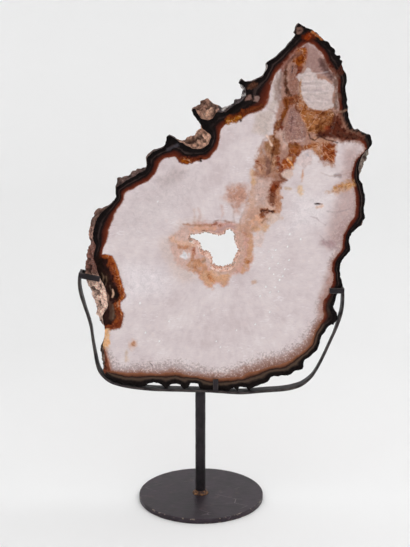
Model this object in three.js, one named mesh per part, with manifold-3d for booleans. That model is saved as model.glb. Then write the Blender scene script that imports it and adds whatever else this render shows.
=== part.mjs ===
// A large agate slice standing upright in a hand-bent flat-bar cradle on a round base plate.
// Millimetres, +Z up. The polished face looks along -Y.
// The origin is the centre of the plate's underside.

import * as THREE from 'three';
import { mergeVertices } from 'three/addons/utils/BufferGeometryUtils.js';
import Module from 'manifold-3d';

const wasm = await Module();
wasm.setup();

// Base plate and post
const PLATE_DIAMETER = 152;
const PLATE_THICKNESS = 6;
const PLATE_CHAMFER = 0.7;
const PLATE_SIDES = 60;
const POST_DIAMETER = 12.3;
const POST_X = -0.8;
const POST_SIDES = 28;
const POST_TOP = 137.3;
const WELD_SIDES = 24;
const WELD_CLEARANCE = 0.15;
// The weld's hollow face, as [distance from the post's axis, height above the plate]
const WELD_PROFILE = [[10.2, 0], [8.7, 0.9], [7.5, 1.9], [6.9, 3.6]];

// Cradle bar: a flat bar standing on its edge to the front, bent to the slice's outline
const BAR_WIDTH = 14.5;
const BAR_THICKNESS = 3;
const BAR_CORNER = 0.6;
const BAR_STEPS = 68;

// Fingers and tabs: short strips welded on the bar's two edges, which keep the slice from tipping
const STRIP_WIDTH = 6.5;
const STRIP_THICKNESS = 3;
const STRIP_BEVEL = 0.4;

// Slice
const SLICE_THICKNESS = 13.4;
const OUTLINE_STEP = 5.5;
const NICK_DEPTH = 0.8;
const WALL_LEVELS = [0, 0.1, 0.42, 0.76, 1];
const WALL_BULGE = 0.35;
const RIND_LUMP = 0.09;
const HOLE_DEPTHS = [-2, 2];
const HOLE_ROUGHNESS = 0.3;
const POCKET_SIDE = 0.35;
const CUT_MARGIN = 1;

// Crystal crust of the through hole
const CRUST_GAP = 0.35;
const CRUST_WALL = 1.1;
const CRUST_REACH = 5.6;
const CRUST_PLACES = 32;
const CRUST_ROWS = 3;
const CRYSTAL_PROUD = 0.4;
const CRYSTAL_ROOT = 0.4;
const CRYSTAL_INSET = 1;
// Each crystal's mean and the most that it departs from it
const CRYSTAL_RADIUS = [2.2, 0.5];
const CRYSTAL_HEIGHT = [3.2, 0.9];
const CRYSTAL_SHIFT = [0, 0.7];
const CRYSTAL_LEAN_ACROSS = [0, 0.35];
const CRYSTAL_LEAN_ALONG = [0, 0.45];

// Points closer than this are one corner
const MERGE_DISTANCE = 1e-4;

const FRONT = -SLICE_THICKNESS / 2;
const BACK = SLICE_THICKNESS / 2;

// The outer lower side of the cradle bar at its front edge, as [x, z],
// from the left arm's top down, along the bottom and up to the right arm's top.
const BAR_LINE = [
  [-142.6, 286], [-144.2, 279], [-144.6, 270], [-143.3, 260], [-139.8, 247.5], [-134.6, 230.5],
  [-131.6, 218], [-130.2, 206], [-128.7, 193.6], [-126.8, 180], [-125.2, 171], [-122.8, 163.7],
  [-117.4, 156.2], [-109, 149.5], [-97.1, 145.2], [-85.2, 142.7], [-61, 139.9], [-37, 138.8],
  [-13, 138.2], [11, 137.5], [35, 135.8], [47, 135.3], [59, 136], [83, 138], [95, 138.8],
  [107, 140.6], [118.7, 144.3], [125.3, 148.6], [133, 156.2], [137.8, 163.7], [141.8, 171.2],
  [148.6, 186.1], [154.8, 201], [161.1, 215.8], [163.7, 223.1], [166.2, 230.5], [167.9, 237.8],
  [168.8, 246], [169, 258], [168.2, 267],
];

// How far the hand-bent bar leans out at its back edge, as [share of its length, degrees].
const BAR_LEAN = [
  [0, 0], [0.05, 0], [0.09, 4], [0.17, 4], [0.23, 0],
  [0.72, 0], [0.78, 9], [0.88, 9], [0.93, 0], [1, 0],
];

// The edge of the polished face as [x, z], clockwise from the peak. Where the rough rind slopes out
// behind it, dx and dz follow and say where the back face's edge lies from there.
const OUTLINE = [
  // right shoulder, down to the right corner
  [109.5, 570.5], [114, 568], [120, 565], [125, 563.5], [129, 560, 1, 1], [134, 555, 1, 1],
  [138, 551.7], [143, 550], [146, 545], [150, 542.5], [151, 540], [150.5, 536.8], [153, 534.8],
  [156, 535.5], [157.5, 533], [156.5, 530.8], [159, 529], [158.5, 525.5], [160.5, 520],
  [163.5, 515], [165.2, 511.5], [165, 506], [164, 501], [164.5, 491], [166, 486], [165.5, 482],
  [167, 479], [166.5, 474], [168, 471], [168, 466], [170, 460.5], [173, 455], [176, 451.7],
  [180.5, 452], [182, 450], [187, 448.5], [190, 447], [193, 446.4], [194.5, 442.5],
  [196.3, 439], [195, 434], [192.3, 430],
  // notch with a strip of rind, then the scalloped right side
  [188, 427.5, 6.3, -1.5], [184.5, 421, 8.5, -2], [182.3, 416, 7.5, -2.5], [181.2, 410, 7, -2.5],
  [181.3, 405, 5.5, -2.5], [181.8, 401, 2, -1], [182, 399], [183.5, 393], [186, 390.5],
  [187.5, 383], [189.5, 377], [189.8, 370], [188.5, 363], [189.5, 355], [190.3, 350],
  [187.5, 345.5, 2, 0], [186, 341.2, 2, -0.5], [182, 338.6], [179, 336], [176, 332.5],
  [173.5, 327.5], [172.5, 322], [174, 316], [174.3, 311.5], [171.5, 308], [167.5, 303],
  [164.5, 298], [163, 292.5], [163.2, 286], [164, 279], [165.6, 273], [166.8, 270],
  [166.7, 268.4], [164.5, 267], [163.3, 262], [160.8, 259.3], [160, 256.5], [158.5, 252],
  [157, 246.5], [156, 242.7], [158.8, 238.5], [160.8, 234.8], [162.2, 231.5], [162.1, 229],
  [160.4, 226.4], [158, 224], [157, 221.3], [154.6, 222.4], [151.5, 220], [149, 217],
  [147, 213], [144, 208.5], [142, 204.5], [141.5, 199], [140.5, 195], [139.5, 191.5],
  // lower right curve
  [134.5, 187], [130.5, 182.6], [128, 180.6], [124.3, 178.6], [122.6, 175], [123, 170],
  [121, 167], [117, 165.6], [112.5, 164.6], [110, 163], [107, 160], [104, 158.6], [98, 159.2],
  [92.5, 157.6], [87, 158], [83.5, 156.6], [82, 153.5], [80, 150.7], [77, 149.6], [73, 147.7],
  [68, 146], [64.5, 144.8], [61.5, 143.5],
  // underside, with the teeth that stand on the bar
  [58, 139.7], [55, 143.6], [50, 144.2], [46, 144], [43.5, 138.9], [40, 143.2], [37, 142.6],
  [33, 139.5], [27, 140.2], [20, 140.7], [12, 141.2], [4, 141.6], [-2, 143], [-4, 148.3],
  [-8, 149.6], [-12, 149.1], [-15, 143.5], [-19, 141.9], [-22, 142.4], [-25, 147.5],
  [-30, 148.7], [-36, 148.1], [-39.5, 144], [-43, 142.5], [-46, 146.4], [-50, 148.9],
  [-57, 149.8], [-63, 149.1], [-67, 146], [-72, 144.7], [-80, 145.7], [-88, 147.1],
  [-96, 149], [-104, 151.8], [-111, 156], [-115, 160.6], [-117.2, 166],
  // lower left edge
  [-115.5, 171, -4, -1], [-114.5, 177, -5.5, -2], [-115, 184, -5.5, -3], [-115.8, 190, -5.5, -3],
  [-117, 196, -4.5, -3], [-116, 201, -1, -2], [-114.5, 206], [-114, 213], [-114.2, 219, -1, 0],
  // broad sloping rind of the left side
  [-115.6, 224, -4.5, -2], [-116.5, 229, -6, -2], [-116.5, 233, -8.5, -1.5], [-114.5, 238, -12, -2],
  [-111.5, 241, -14, -2], [-110.3, 247, -16.5, -3], [-110.5, 253, -17, -3],
  [-111, 259, -18.5, -3], [-112, 265, -21, -3], [-114.5, 271, -21, -3], [-117.5, 277, -19, -3],
  [-120, 283, -17, -3], [-121.8, 289, -16, -3], [-123.5, 296, -13, -3], [-125.5, 302, -10, -3],
  [-125, 308, -10, -3], [-123.5, 313, -11, -3], [-122.6, 318, -9, -3], [-124, 321.5, -6, -3],
  [-126, 326, -5.5, -2], [-125.8, 331, -6, -2], [-124.6, 338, -6, -2], [-122.5, 345, -6.5, -2],
  [-120, 351, -7.5, -1], [-116.5, 355.5, -7.5, 1], [-112.5, 359.5, -6, 0.5], [-108, 362.8],
  [-104.5, 366], [-101, 370], [-98.5, 373], [-98.3, 377.5], [-98.3, 382, -0.5, 0],
  // rind steps of the upper left side
  [-97.5, 386, -2.4, 0], [-94.5, 388, -4, 2.5], [-91, 390, -6, 5.5], [-88, 393, -4, 3.5],
  [-84, 395.5, -3.5, 2.2], [-79, 397.5, -3.5, 2.8], [-75, 400, -2.5, 5], [-71, 403.5, -3, 2.6],
  [-67, 404.8, -2, 2.2], [-64, 406.3, -1, 2], [-62.5, 410, -1, -1], [-62.3, 414, -1.5, -1],
  [-62, 419, -2, -0.5], [-60, 422.5, -2, 0], [-57, 425.5, -1.5, 0],
  [-53.5, 427.8, -1, 0.5], [-50, 429.3], [-45, 431.3], [-42, 432.8], [-40, 437],
  [-39, 441], [-39.4, 443.4], [-37, 445.7], [-35, 445.5], [-32, 443.8], [-29.5, 442.5],
  [-27, 440.5, 0, 0.3], [-24, 438.7, 0, 0.8],
  // deep notch filled with brown matrix
  [-20, 437, -2, 3.3], [-15, 434, -2.5, 7.8], [-10, 431.7, -3, 11.5], [-4, 430.2, -5, 15.6],
  [2, 431, -8, 17.3], [6, 434, -10, 15.9], [9.7, 438.5, -12.2, 12.4], [11.3, 443.5, -12.6, 8.4],
  [10.5, 447, -11.1, 5.8], [7, 449.2, -7.2, 4.5], [3.5, 451.5, -3.5, 3], [1, 454, -1, 1.3],
  [0, 457], [-2, 460.5], [-5.5, 465], [-9, 469.3], [-10.8, 473],
  // brown knob and the grey rind beside it
  [-9.8, 476, -0.3, -0.6], [-6.5, 476.5, -0.5, 1], [-4, 473, -1, 5.6], [-2, 468.5, -0.5, 11.2],
  [1, 465, -2.5, 16.2], [5, 463.4, -6, 20.2], [9, 463.6, -7.5, 22.2], [13, 465, -8, 22.2],
  [15.2, 468.5, -7, 18.6], [16.5, 471.5, -5, 13], [18.5, 472.3, -4, 9.6],
  [21.5, 472.2, -1.5, 8.7], [25, 472, 0, 5.3], [29, 472.6, 1, 4.6], [32.5, 475.5, 1, 4.1],
  [36, 478.5, 1, 3.3], [39, 480.5, -1, 5], [43, 482.8, 0.5, 4.2], [47.5, 485.8, -1, 3.7],
  [50.3, 489.5, -4, 2], [51.3, 493.5, -4.5, 1], [50.3, 498, -4.8, 1], [47.5, 501.5, -3.5, 1.5],
  // small horn, then the long left shoulder up to the peak
  [44, 502.8, -1, 0.8], [42.2, 504.3], [44.5, 508], [46, 509], [50, 506.6], [56, 506.5],
  [62, 508.5], [70, 512.5], [71.5, 516], [73.5, 518.5, -1, 0], [74.8, 521.5, -1.5, 0],
  [74.6, 524, -1.5, 0.3], [73, 526], [76, 529], [80, 531], [85, 534.2], [90, 539], [95, 544],
  [100, 550], [104, 555], [106, 558], [104.3, 560.3], [105.5, 562.5], [106, 566], [108, 569.5],
];

// The stone's edge of the through hole, as [x, z].
const HOLE_LINE = [
  [-15.5, 327], [-13.5, 332], [-6, 332.8], [0, 334], [4.5, 335.3], [10, 334.5], [16, 333],
  [21, 331.9], [25.3, 332.3], [27, 336], [30, 338.4], [34.5, 339], [38.5, 336], [41.3, 331.5],
  [42.3, 325.5], [42.6, 320.5], [44.6, 316.6], [47.2, 311.5], [45.4, 306.5], [43, 302.5],
  [41.6, 298], [39.6, 292.5], [34.5, 288.2], [28, 286.6], [21.5, 286.5], [15.5, 288],
  [10.8, 290.8], [11, 297], [9.6, 301.5], [6.6, 304.6], [1.8, 306.2], [-1.8, 309], [-2.6, 314],
  [-4.5, 318], [-9, 320], [-13.8, 321.4],
];

// Shallow hollows in the polished face: outline as [x, z], depth, and roughness of the floor.
const POCKETS = [
  { // druse-floored triangle right of the middle, high up
    line: [[101.5, 476], [107, 476.5], [110.5, 472], [113, 466], [116.5, 460], [119.5, 453],
      [120.5, 446], [119, 440], [113, 437.5], [107, 437], [101, 436.5], [95.5, 438.5],
      [92.5, 442.5], [93.5, 448], [95.5, 453.5], [97, 459.5], [99, 465.5], [100, 471]],
    depth: 1.9, rough: 0.7, rings: 4,
  },
  { // long lobe above it
    line: [[103, 526.5], [106.5, 523.5], [108, 517.5], [108.5, 511], [110, 505], [111, 498.5],
      [109.5, 492.5], [105.5, 490], [102, 493.5], [100.8, 500], [100, 507], [99, 514],
      [99.5, 521.5]],
    depth: 1.2, rough: 0.35, rings: 3,
  },
  { // slit in the lobe
    line: [[103, 523.5], [104.3, 520], [103.5, 516], [102.3, 515.4], [101.7, 519]],
    depth: 3.4, rough: 0.4, rings: 2,
  },
  { // undercut ledge
    line: [[69, 359.5], [74, 360.4], [80, 359.6], [86, 356.4], [80, 357], [76, 355],
      [73.5, 351.6], [69.8, 353]],
    depth: 2.6, rough: 0.6, rings: 2,
  },
  { // eye-shaped slit
    line: [[131.8, 366.6], [134, 367.9], [137.6, 367.6], [140.2, 366.4], [136.5, 365.4],
      [133.2, 365.3]],
    depth: 2.8, rough: 0.4, rings: 2,
  },
  { // small pit
    line: [[64.4, 377.4], [66, 378.6], [68, 377.8], [67.2, 376], [65, 375.8]],
    depth: 1.8, rough: 0.3, rings: 2,
  },
];

// A repeatable value from -1 to 1 for each pair of whole numbers.
function grain(i, j) {
  const wave = Math.sin(i * 127.1 + j * 311.7) * 43758.5453;
  return 2 * (wave - Math.floor(wave)) - 1;
}

// A repeatable value about a mean.
function vary([mean, spread], i, j) {
  return mean + spread * grain(i, j);
}

// Twice the area inside a loop of [x, z] points, positive when it runs anticlockwise.
function turn(loop) {
  let sum = 0;
  for (let i = 0; i < loop.length; i += 1) {
    const [ax, az] = loop[i];
    const [bx, bz] = loop[(i + 1) % loop.length];
    sum += ax * bz - bx * az;
  }
  return sum;
}

// Unit vectors pointing out of a loop, one for each point.
function outwardOf(loop) {
  const side = Math.sign(turn(loop));
  return loop.map((_, i) => {
    const [ax, az] = loop[(i + loop.length - 1) % loop.length];
    const [bx, bz] = loop[(i + 1) % loop.length];
    const length = Math.hypot(bx - ax, bz - az);
    return [side * (bz - az) / length, -side * (bx - ax) / length];
  });
}

// A loop moved along its outward directions, inwards for a negative distance.
function moved(loop, distance) {
  const out = outwardOf(loop);
  return loop.map(([x, z], i) => [x + out[i][0] * distance, z + out[i][1] * distance]);
}

function geometryOf(positions, triangles) {
  const geometry = new THREE.BufferGeometry();
  geometry.setAttribute('position', new THREE.Float32BufferAttribute(positions, 3));
  geometry.setIndex(triangles);
  return geometry;
}

// Six times the volume inside a mesh, positive when its faces point out.
function signedVolume(positions, triangles) {
  let sum = 0;
  for (let t = 0; t < triangles.length; t += 3) {
    const corner = (k) => new THREE.Vector3().fromArray(positions, triangles[t + k] * 3);
    const [a, b, c] = [corner(0), corner(1), corner(2)];
    sum += a.dot(b.cross(c));
  }
  return sum;
}

// The corner numbers of the triangles between two rings, whose points start at those numbers.
function stripBetween(lower, upper, count) {
  const triangles = [];
  for (let i = 0; i < count; i += 1) {
    const next = (i + 1) % count;
    triangles.push(lower + i, lower + next, upper + next, lower + i, upper + next, upper + i);
  }
  return triangles;
}

// A closed skin over a row of rings of equal count, each ring a list of Vector3. The two end rings
// are closed by triangles of their flat outline, which flat gives for a point as [u, v].
function skin(rings, flat) {
  const count = rings[0].length;
  const positions = rings.flat().flatMap((point) => point.toArray());
  const triangles = rings.slice(1).flatMap((_, r) => stripBetween(r * count, (r + 1) * count, count));
  const last = (rings.length - 1) * count;
  for (const [ring, first, reversed] of [[rings[0], 0, true], [rings.at(-1), last, false]]) {
    const outline = ring.map(flat);
    const side = Math.sign(turn(outline));
    const contour = outline.map(([u, v]) => new THREE.Vector2(u, v));
    for (const face of THREE.ShapeUtils.triangulateShape(contour, [])) {
      const sameWay = Math.sign(turn(face.map((k) => outline[k]))) === side;
      const corners = sameWay !== reversed ? face : [...face].reverse();
      triangles.push(...corners.map((k) => first + k));
    }
  }
  if (signedVolume(positions, triangles) < 0) triangles.reverse();
  return geometryOf(positions, triangles);
}

// A closed band through rings that follow each other all the way round.
function band(rings) {
  const count = rings[0].length;
  const positions = rings.flat().flatMap((point) => point.toArray());
  const triangles = rings.flatMap((_, r) => (
    stripBetween(r * count, ((r + 1) % rings.length) * count, count)));
  if (signedVolume(positions, triangles) < 0) triangles.reverse();
  return geometryOf(positions, triangles);
}

const onFace = (point) => [point.x, point.z];
const ringAt = (loop, y) => loop.map(([x, z]) => new THREE.Vector3(x, y, z));

function solidOf(geometry) {
  const bare = geometry.clone();
  bare.deleteAttribute('normal');
  bare.deleteAttribute('uv');
  const merged = mergeVertices(bare, MERGE_DISTANCE);
  return new wasm.Manifold(new wasm.Mesh({
    numProp: 3,
    vertProperties: new Float32Array(merged.attributes.position.array),
    triVerts: new Uint32Array(merged.index.array),
  }));
}

function geometryFrom(solid) {
  const mesh = solid.getMesh();
  return geometryOf(Array.from(mesh.vertProperties), Array.from(mesh.triVerts));
}

// The outline with extra points between the listed ones, each nicked inwards a little.
function raggedOutline() {
  const points = [];
  OUTLINE.forEach(([x, z, dx = 0, dz = 0], i) => {
    const [nextX, nextZ, nextDx = 0, nextDz = 0] = OUTLINE[(i + 1) % OUTLINE.length];
    points.push({ x, z, dx, dz });
    const length = Math.hypot(nextX - x, nextZ - z);
    const parts = Math.ceil(length / OUTLINE_STEP);
    for (let k = 1; k < parts; k += 1) {
      const share = k / parts;
      const nick = NICK_DEPTH * Math.abs(grain(i, k));
      points.push({
        x: x + (nextX - x) * share - nick * (z - nextZ) / length,
        z: z + (nextZ - z) * share - nick * (nextX - x) / length,
        dx: dx + (nextDx - dx) * share,
        dz: dz + (nextDz - dz) * share,
      });
    }
  });
  return points;
}

// One ring of the slice's wall. The level runs from 0 at the polished face to 1 at the back.
function wallRing(points, out, level, row) {
  const slope = level * (1 + WALL_BULGE * (1 - level));
  const inside = level > 0 && level < 1 ? 1 : 0;
  const y = FRONT + SLICE_THICKNESS * level;
  return points.map(({ x, z, dx, dz }, i) => {
    const reach = Math.hypot(dx, dz);
    const nick = -NICK_DEPTH * Math.abs(grain(i, row));
    const lump = inside * (nick + RIND_LUMP * reach * grain(i, row + 50));
    return new THREE.Vector3(x + dx * slope + out[i][0] * lump, y, z + dz * slope + out[i][1] * lump);
  });
}

// A cutter for a shallow hollow: straight sides, then a rough floor that falls to the middle.
function pocketCutter({ line, depth, rough, rings }, seed) {
  const meanOf = (k) => line.reduce((sum, point) => sum + point[k], 0) / line.length;
  const middle = [meanOf(0), meanOf(1)];
  const levels = [ringAt(line, FRONT - CUT_MARGIN), ringAt(line, FRONT + depth * POCKET_SIDE)];
  for (let r = 1; r < rings; r += 1) {
    const share = 1 - r / rings;
    levels.push(line.map(([x, z], i) => new THREE.Vector3(
      middle[0] + (x - middle[0]) * share,
      FRONT + depth + rough * grain(i + seed, r),
      middle[1] + (z - middle[1]) * share,
    )));
  }
  return solidOf(skin(levels, onFace));
}

function sliceGeometry() {
  const points = raggedOutline();
  const out = outwardOf(points.map(({ x, z }) => [x, z]));
  const rings = WALL_LEVELS.map((level, row) => wallRing(points, out, level, row));
  let slice = solidOf(skin(rings, onFace));
  const rough = [0, HOLE_ROUGHNESS];
  const through = [FRONT - CUT_MARGIN, ...HOLE_DEPTHS, BACK + CUT_MARGIN].map((y, row) => (
    HOLE_LINE.map(([x, z], i) => (
      new THREE.Vector3(x + vary(rough, i, row), y, z + vary(rough, i, row + 9))))));
  slice = slice.subtract(solidOf(skin(through, onFace)));
  POCKETS.forEach((pocket, seed) => {
    slice = slice.subtract(pocketCutter(pocket, seed * 31));
  });
  return geometryFrom(slice);
}

// A six-sided quartz point along +Z, its root's middle at the origin.
function quartzPoint(radius, height) {
  const sides = 6;
  const root = Array.from({ length: sides }, (_, i) => {
    const angle = (i / sides) * 2 * Math.PI;
    return new THREE.Vector3(radius * Math.cos(angle), radius * Math.sin(angle), 0);
  });
  const [tip, foot] = [new THREE.Vector3(0, 0, height), new THREE.Vector3()];
  const positions = [...root, tip, foot].flatMap((point) => point.toArray());
  const triangles = [];
  for (let i = 0; i < sides; i += 1) {
    const next = (i + 1) % sides;
    triangles.push(i, next, sides, next, i, sides + 1);
  }
  return geometryOf(positions, triangles);
}

// Evenly spaced stations on a closed loop, each with its point and its inward direction.
function stationsOn(loop, count) {
  const curve = new THREE.CatmullRomCurve3(ringAt(loop, 0), true, 'centripetal');
  const side = Math.sign(turn(loop));
  return Array.from({ length: count }, (_, i) => {
    const along = curve.getTangentAt(i / count);
    const inward = new THREE.Vector3(-side * along.z, 0, side * along.x);
    return { point: curve.getPointAt(i / count), inward };
  });
}

// The crust: a thin wall that lines the hole, with quartz points growing out of it to the middle.
function crustGeometry() {
  const outer = moved(HOLE_LINE, -(CRUST_GAP + HOLE_ROUGHNESS));
  const inner = moved(outer, -CRUST_WALL);
  const wall = [
    ringAt(outer, -CRUST_REACH), ringAt(outer, CRUST_REACH),
    ringAt(inner, CRUST_REACH), ringAt(inner, -CRUST_REACH),
  ];
  let crust = solidOf(band(wall));
  const reach = CRUST_REACH + CRYSTAL_PROUD;
  const trim = solidOf(skin([ringAt(outer, -reach), ringAt(outer, reach)], onFace));
  const rise = new THREE.Vector3(0, 0, 1);
  const spread = 2 * (CRUST_REACH - CRYSTAL_INSET);
  stationsOn(outer, CRUST_PLACES).forEach(({ point, inward }, i) => {
    for (let row = 0; row < CRUST_ROWS; row += 1) {
      const crystal = quartzPoint(vary(CRYSTAL_RADIUS, i, row), vary(CRYSTAL_HEIGHT, i, row + 6));
      const lean = new THREE.Vector3(
        vary(CRYSTAL_LEAN_ACROSS, i, row + 9),
        vary(CRYSTAL_LEAN_ALONG, i, row + 12),
        vary(CRYSTAL_LEAN_ACROSS, i, row + 15),
      );
      const aim = inward.clone().add(lean).normalize();
      const foot = point.clone().addScaledVector(inward, CRYSTAL_ROOT);
      foot.y = ((row + 0.5) / CRUST_ROWS - 0.5) * spread + vary(CRYSTAL_SHIFT, i, row + 18);
      crystal.applyQuaternion(new THREE.Quaternion().setFromUnitVectors(rise, aim));
      crystal.translate(foot.x, foot.y, foot.z);
      crust = crust.add(solidOf(crystal));
    }
  });
  return geometryFrom(crust.intersect(trim));
}

// The bar's lean at a share of its length, in radians.
function leanAt(share) {
  const next = Math.max(1, BAR_LEAN.findIndex(([place]) => place >= share));
  const [[from, low], [to, high]] = [BAR_LEAN[next - 1], BAR_LEAN[next]];
  return THREE.MathUtils.degToRad(low + (high - low) * THREE.MathUtils.smoothstep(share, from, to));
}

// The bar's section as [across the thickness, along the width], its corners cut.
function barSection() {
  const [t, w, c] = [BAR_THICKNESS, BAR_WIDTH, BAR_CORNER];
  return [[c, 0], [t - c, 0], [t, c], [t, w - c], [t - c, w], [c, w], [0, w - c], [0, c]];
}

function barGeometry() {
  const curve = new THREE.CatmullRomCurve3(ringAt(BAR_LINE, -BAR_WIDTH / 2), false, 'centripetal');
  const section = barSection();
  const rings = Array.from({ length: BAR_STEPS + 1 }, (_, i) => {
    const share = i / BAR_STEPS;
    const start = curve.getPointAt(share);
    const along = curve.getTangentAt(share);
    const lean = -leanAt(share);
    const inward = new THREE.Vector3(-along.z, 0, along.x).applyAxisAngle(along, lean);
    const across = new THREE.Vector3(0, 1, 0).applyAxisAngle(along, lean);
    return section.map(([q, s]) => start.clone().addScaledVector(inward, q).addScaledVector(across, s));
  });
  return skin(rings, (point) => [point.x, point.y]);
}

// A flat strip of the stand, its edges broken, its long side along +X from the origin.
function stripGeometry(length) {
  const edge = STRIP_BEVEL;
  const side = STRIP_WIDTH / 2 - edge;
  const corners = [[edge, -side], [length - edge, -side], [length - edge, side], [edge, side]];
  const shape = new THREE.Shape(corners.map(([x, y]) => new THREE.Vector2(x, y)));
  const geometry = new THREE.ExtrudeGeometry(shape, {
    depth: STRIP_THICKNESS - 2 * edge,
    bevelThickness: edge,
    bevelSize: edge,
    bevelSegments: 1,
  });
  geometry.translate(0, 0, edge);
  geometry.rotateX(Math.PI / 2);
  return geometry;
}

// A piece turned about the upright axis, its profile as [distance from the axis, height].
function turned(profile, sides) {
  return new THREE.LatheGeometry(profile.map(([x, y]) => new THREE.Vector2(x, y)), sides);
}

function plateGeometry() {
  const [r, h, c] = [PLATE_DIAMETER / 2, PLATE_THICKNESS, PLATE_CHAMFER];
  return turned([[0, 0], [r - c, 0], [r, c], [r, h - c], [r - c, h], [0, h]], PLATE_SIDES);
}

function postGeometry() {
  const [r, foot, top] = [POST_DIAMETER / 2, PLATE_THICKNESS, POST_TOP];
  return turned([[0, foot], [r, foot], [r, top], [0, top]], POST_SIDES);
}

// The weld round the post's foot, hollow-faced like a fillet.
function weldGeometry() {
  const inner = POST_DIAMETER / 2 + WELD_CLEARANCE;
  const face = WELD_PROFILE.map(([x, rise]) => [x, PLATE_THICKNESS + rise]);
  const [foot, top] = [face[0][1], face.at(-1)[1]];
  return turned([[inner, foot], ...face, [inner, top], [inner, foot]], WELD_SIDES);
}

function finish(color, roughness, metalness) {
  return new THREE.MeshStandardMaterial({ color, roughness, metalness });
}

const blackIron = () => finish(0x2b2829, 0.45, 0.7);
const brownPlate = finish(0x4b4449, 0.5, 0.6);
const weldBronze = finish(0x8a5a32, 0.4, 0.8);
const paleQuartz = finish(0xcdc2c2, 0.3, 0);
const clearQuartz = finish(0xe3d2c8, 0.15, 0);

const object = new THREE.Group();

function place(name, geometry, material) {
  const mesh = new THREE.Mesh(geometry, material);
  mesh.name = name;
  object.add(mesh);
  return mesh;
}

// Turned pieces are drawn about +Y and stood up along +Z.
function placeUpright(name, geometry, material) {
  const mesh = place(name, geometry, material);
  mesh.rotation.x = Math.PI / 2;
  return mesh;
}

placeUpright('base_plate', plateGeometry(), brownPlate);
placeUpright('post', postGeometry(), blackIron()).position.x = POST_X;
placeUpright('post_weld', weldGeometry(), weldBronze).position.x = POST_X;
place('cradle_bar', barGeometry(), blackIron());

// Each strip: length, the place of its first end on the bar, and its slope in the upright plane.
const STRIPS = [
  { name: 'left', part: 'finger', length: 25.6, x: -143.4, z: 282.9, slope: -0.19 },
  { name: 'right', part: 'finger', length: 17.4, x: 151, z: 264, slope: 0 },
  { name: 'bottom', part: 'tab', length: 15, x: 17.5, z: 139.9, slope: Math.PI / 2 },
];
for (const { name, part, length, x, z, slope } of STRIPS) {
  for (const [side, y] of [['front', -BAR_WIDTH / 2], ['back', BAR_WIDTH / 2 + STRIP_THICKNESS]]) {
    const strip = place(`${name}_${side}_${part}`, stripGeometry(length), blackIron());
    strip.position.set(x, y, z);
    strip.rotation.y = -slope;
  }
}

place('agate_slice', sliceGeometry(), paleQuartz);
place('vug_crystals', crustGeometry(), clearQuartz);

export default object;
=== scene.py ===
# %% [markdown]
# # An agate slice on its stand
# The real object is a slab sawn from a large agate geode and polished on its face. Pale quartz fills
# the middle, dark chalcedony bands follow the edge, and a hole lined with crystals goes right through.
# A hand-bent cradle of flat iron bar on a post and a round plate holds it upright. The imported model
# gives every piece its place, and this script gives each one its surface.

# %% Load the frame
import math

import bpy
import numpy as np
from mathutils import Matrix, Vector
from mathutils.geometry import delaunay_2d_cdt


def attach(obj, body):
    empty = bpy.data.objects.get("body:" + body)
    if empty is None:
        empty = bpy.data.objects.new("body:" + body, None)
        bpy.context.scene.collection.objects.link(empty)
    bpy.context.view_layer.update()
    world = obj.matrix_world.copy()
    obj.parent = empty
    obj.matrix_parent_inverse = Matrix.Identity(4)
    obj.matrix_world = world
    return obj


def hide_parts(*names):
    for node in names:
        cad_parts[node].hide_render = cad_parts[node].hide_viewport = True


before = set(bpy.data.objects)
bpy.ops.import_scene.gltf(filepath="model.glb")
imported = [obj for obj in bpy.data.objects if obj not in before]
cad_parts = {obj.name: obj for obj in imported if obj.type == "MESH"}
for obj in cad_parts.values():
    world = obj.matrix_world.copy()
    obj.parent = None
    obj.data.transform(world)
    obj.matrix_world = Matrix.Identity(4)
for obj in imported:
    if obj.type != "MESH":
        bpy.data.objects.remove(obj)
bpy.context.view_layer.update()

BODY = "root"
MM = 0.001

# %% [markdown]
# ## Noise and lines
# Broken stone and hand-bent iron have no perfect edges. A repeatable noise, made from a hash of whole
# numbers, gives the same chips and ripples on every run. The outlines are short lists of points, so a
# few helpers walk along them, measure the distance to them and tell inside from outside.

# %% Repeatable noise
def lattice(cell, seed):
    """A value from -1 to 1 for each row of three whole numbers: an integer hash of the row."""
    mixed = cell[..., 0] * 73856093 ^ cell[..., 1] * 19349663 ^ cell[..., 2] * 83492791 ^ seed * 2654435
    mixed = (mixed ^ (mixed >> 13)) * 1274126177
    mixed = mixed ^ (mixed >> 16)
    return (mixed & 0xFFFF) / 32767.5 - 1


def smooth_noise(points, size, seed):
    """Lattice values at the eight corners of each cell of that size, faded into each other."""
    place = points / size
    cell = np.floor(place).astype(np.int64)
    part = place - cell
    part = part * part * (3 - 2 * part)
    total = np.zeros(len(points))
    for corner in np.ndindex(2, 2, 2):
        corner = np.array(corner)
        weight = np.prod(np.where(corner, part, 1 - part), axis=1)
        total += weight * lattice(cell + corner, seed)
    return total


def rough_noise(points, size, seed, octaves=4):
    """A sum of noises, each of half the size and half the height of the one before."""
    points = np.column_stack([points, np.zeros((len(points), 3 - points.shape[1]))])
    layers = [smooth_noise(points, size / 2**k, seed + k) / 2**k for k in range(octaves)]
    return sum(layers)


print("noise of two points", rough_noise(np.array([[1.0, 2.0], [3.0, 5.0]]), 4.0, 1).round(2))

# %% Lines and areas
def walked(line, step, closed=True):
    """Points at even steps along a line: each column is interpolated over the distance walked."""
    loop = np.vstack([line, line[:1]]) if closed else line
    gone = np.concatenate([[0], np.cumsum(np.linalg.norm(np.diff(loop[:, :2], axis=0), axis=1))])
    places = np.linspace(0, gone[-1], max(2, round(gone[-1] / step)), endpoint=not closed)
    return np.column_stack([np.interp(places, gone, column) for column in loop.T])


def outward(loop):
    """Unit vectors at right angles to a clockwise loop of points, away from its inside."""
    along = np.roll(loop, -1, axis=0) - np.roll(loop, 1, axis=0)
    across = np.column_stack([-along[:, 1], along[:, 0]])
    return across / np.linalg.norm(across, axis=1, keepdims=True)


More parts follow.
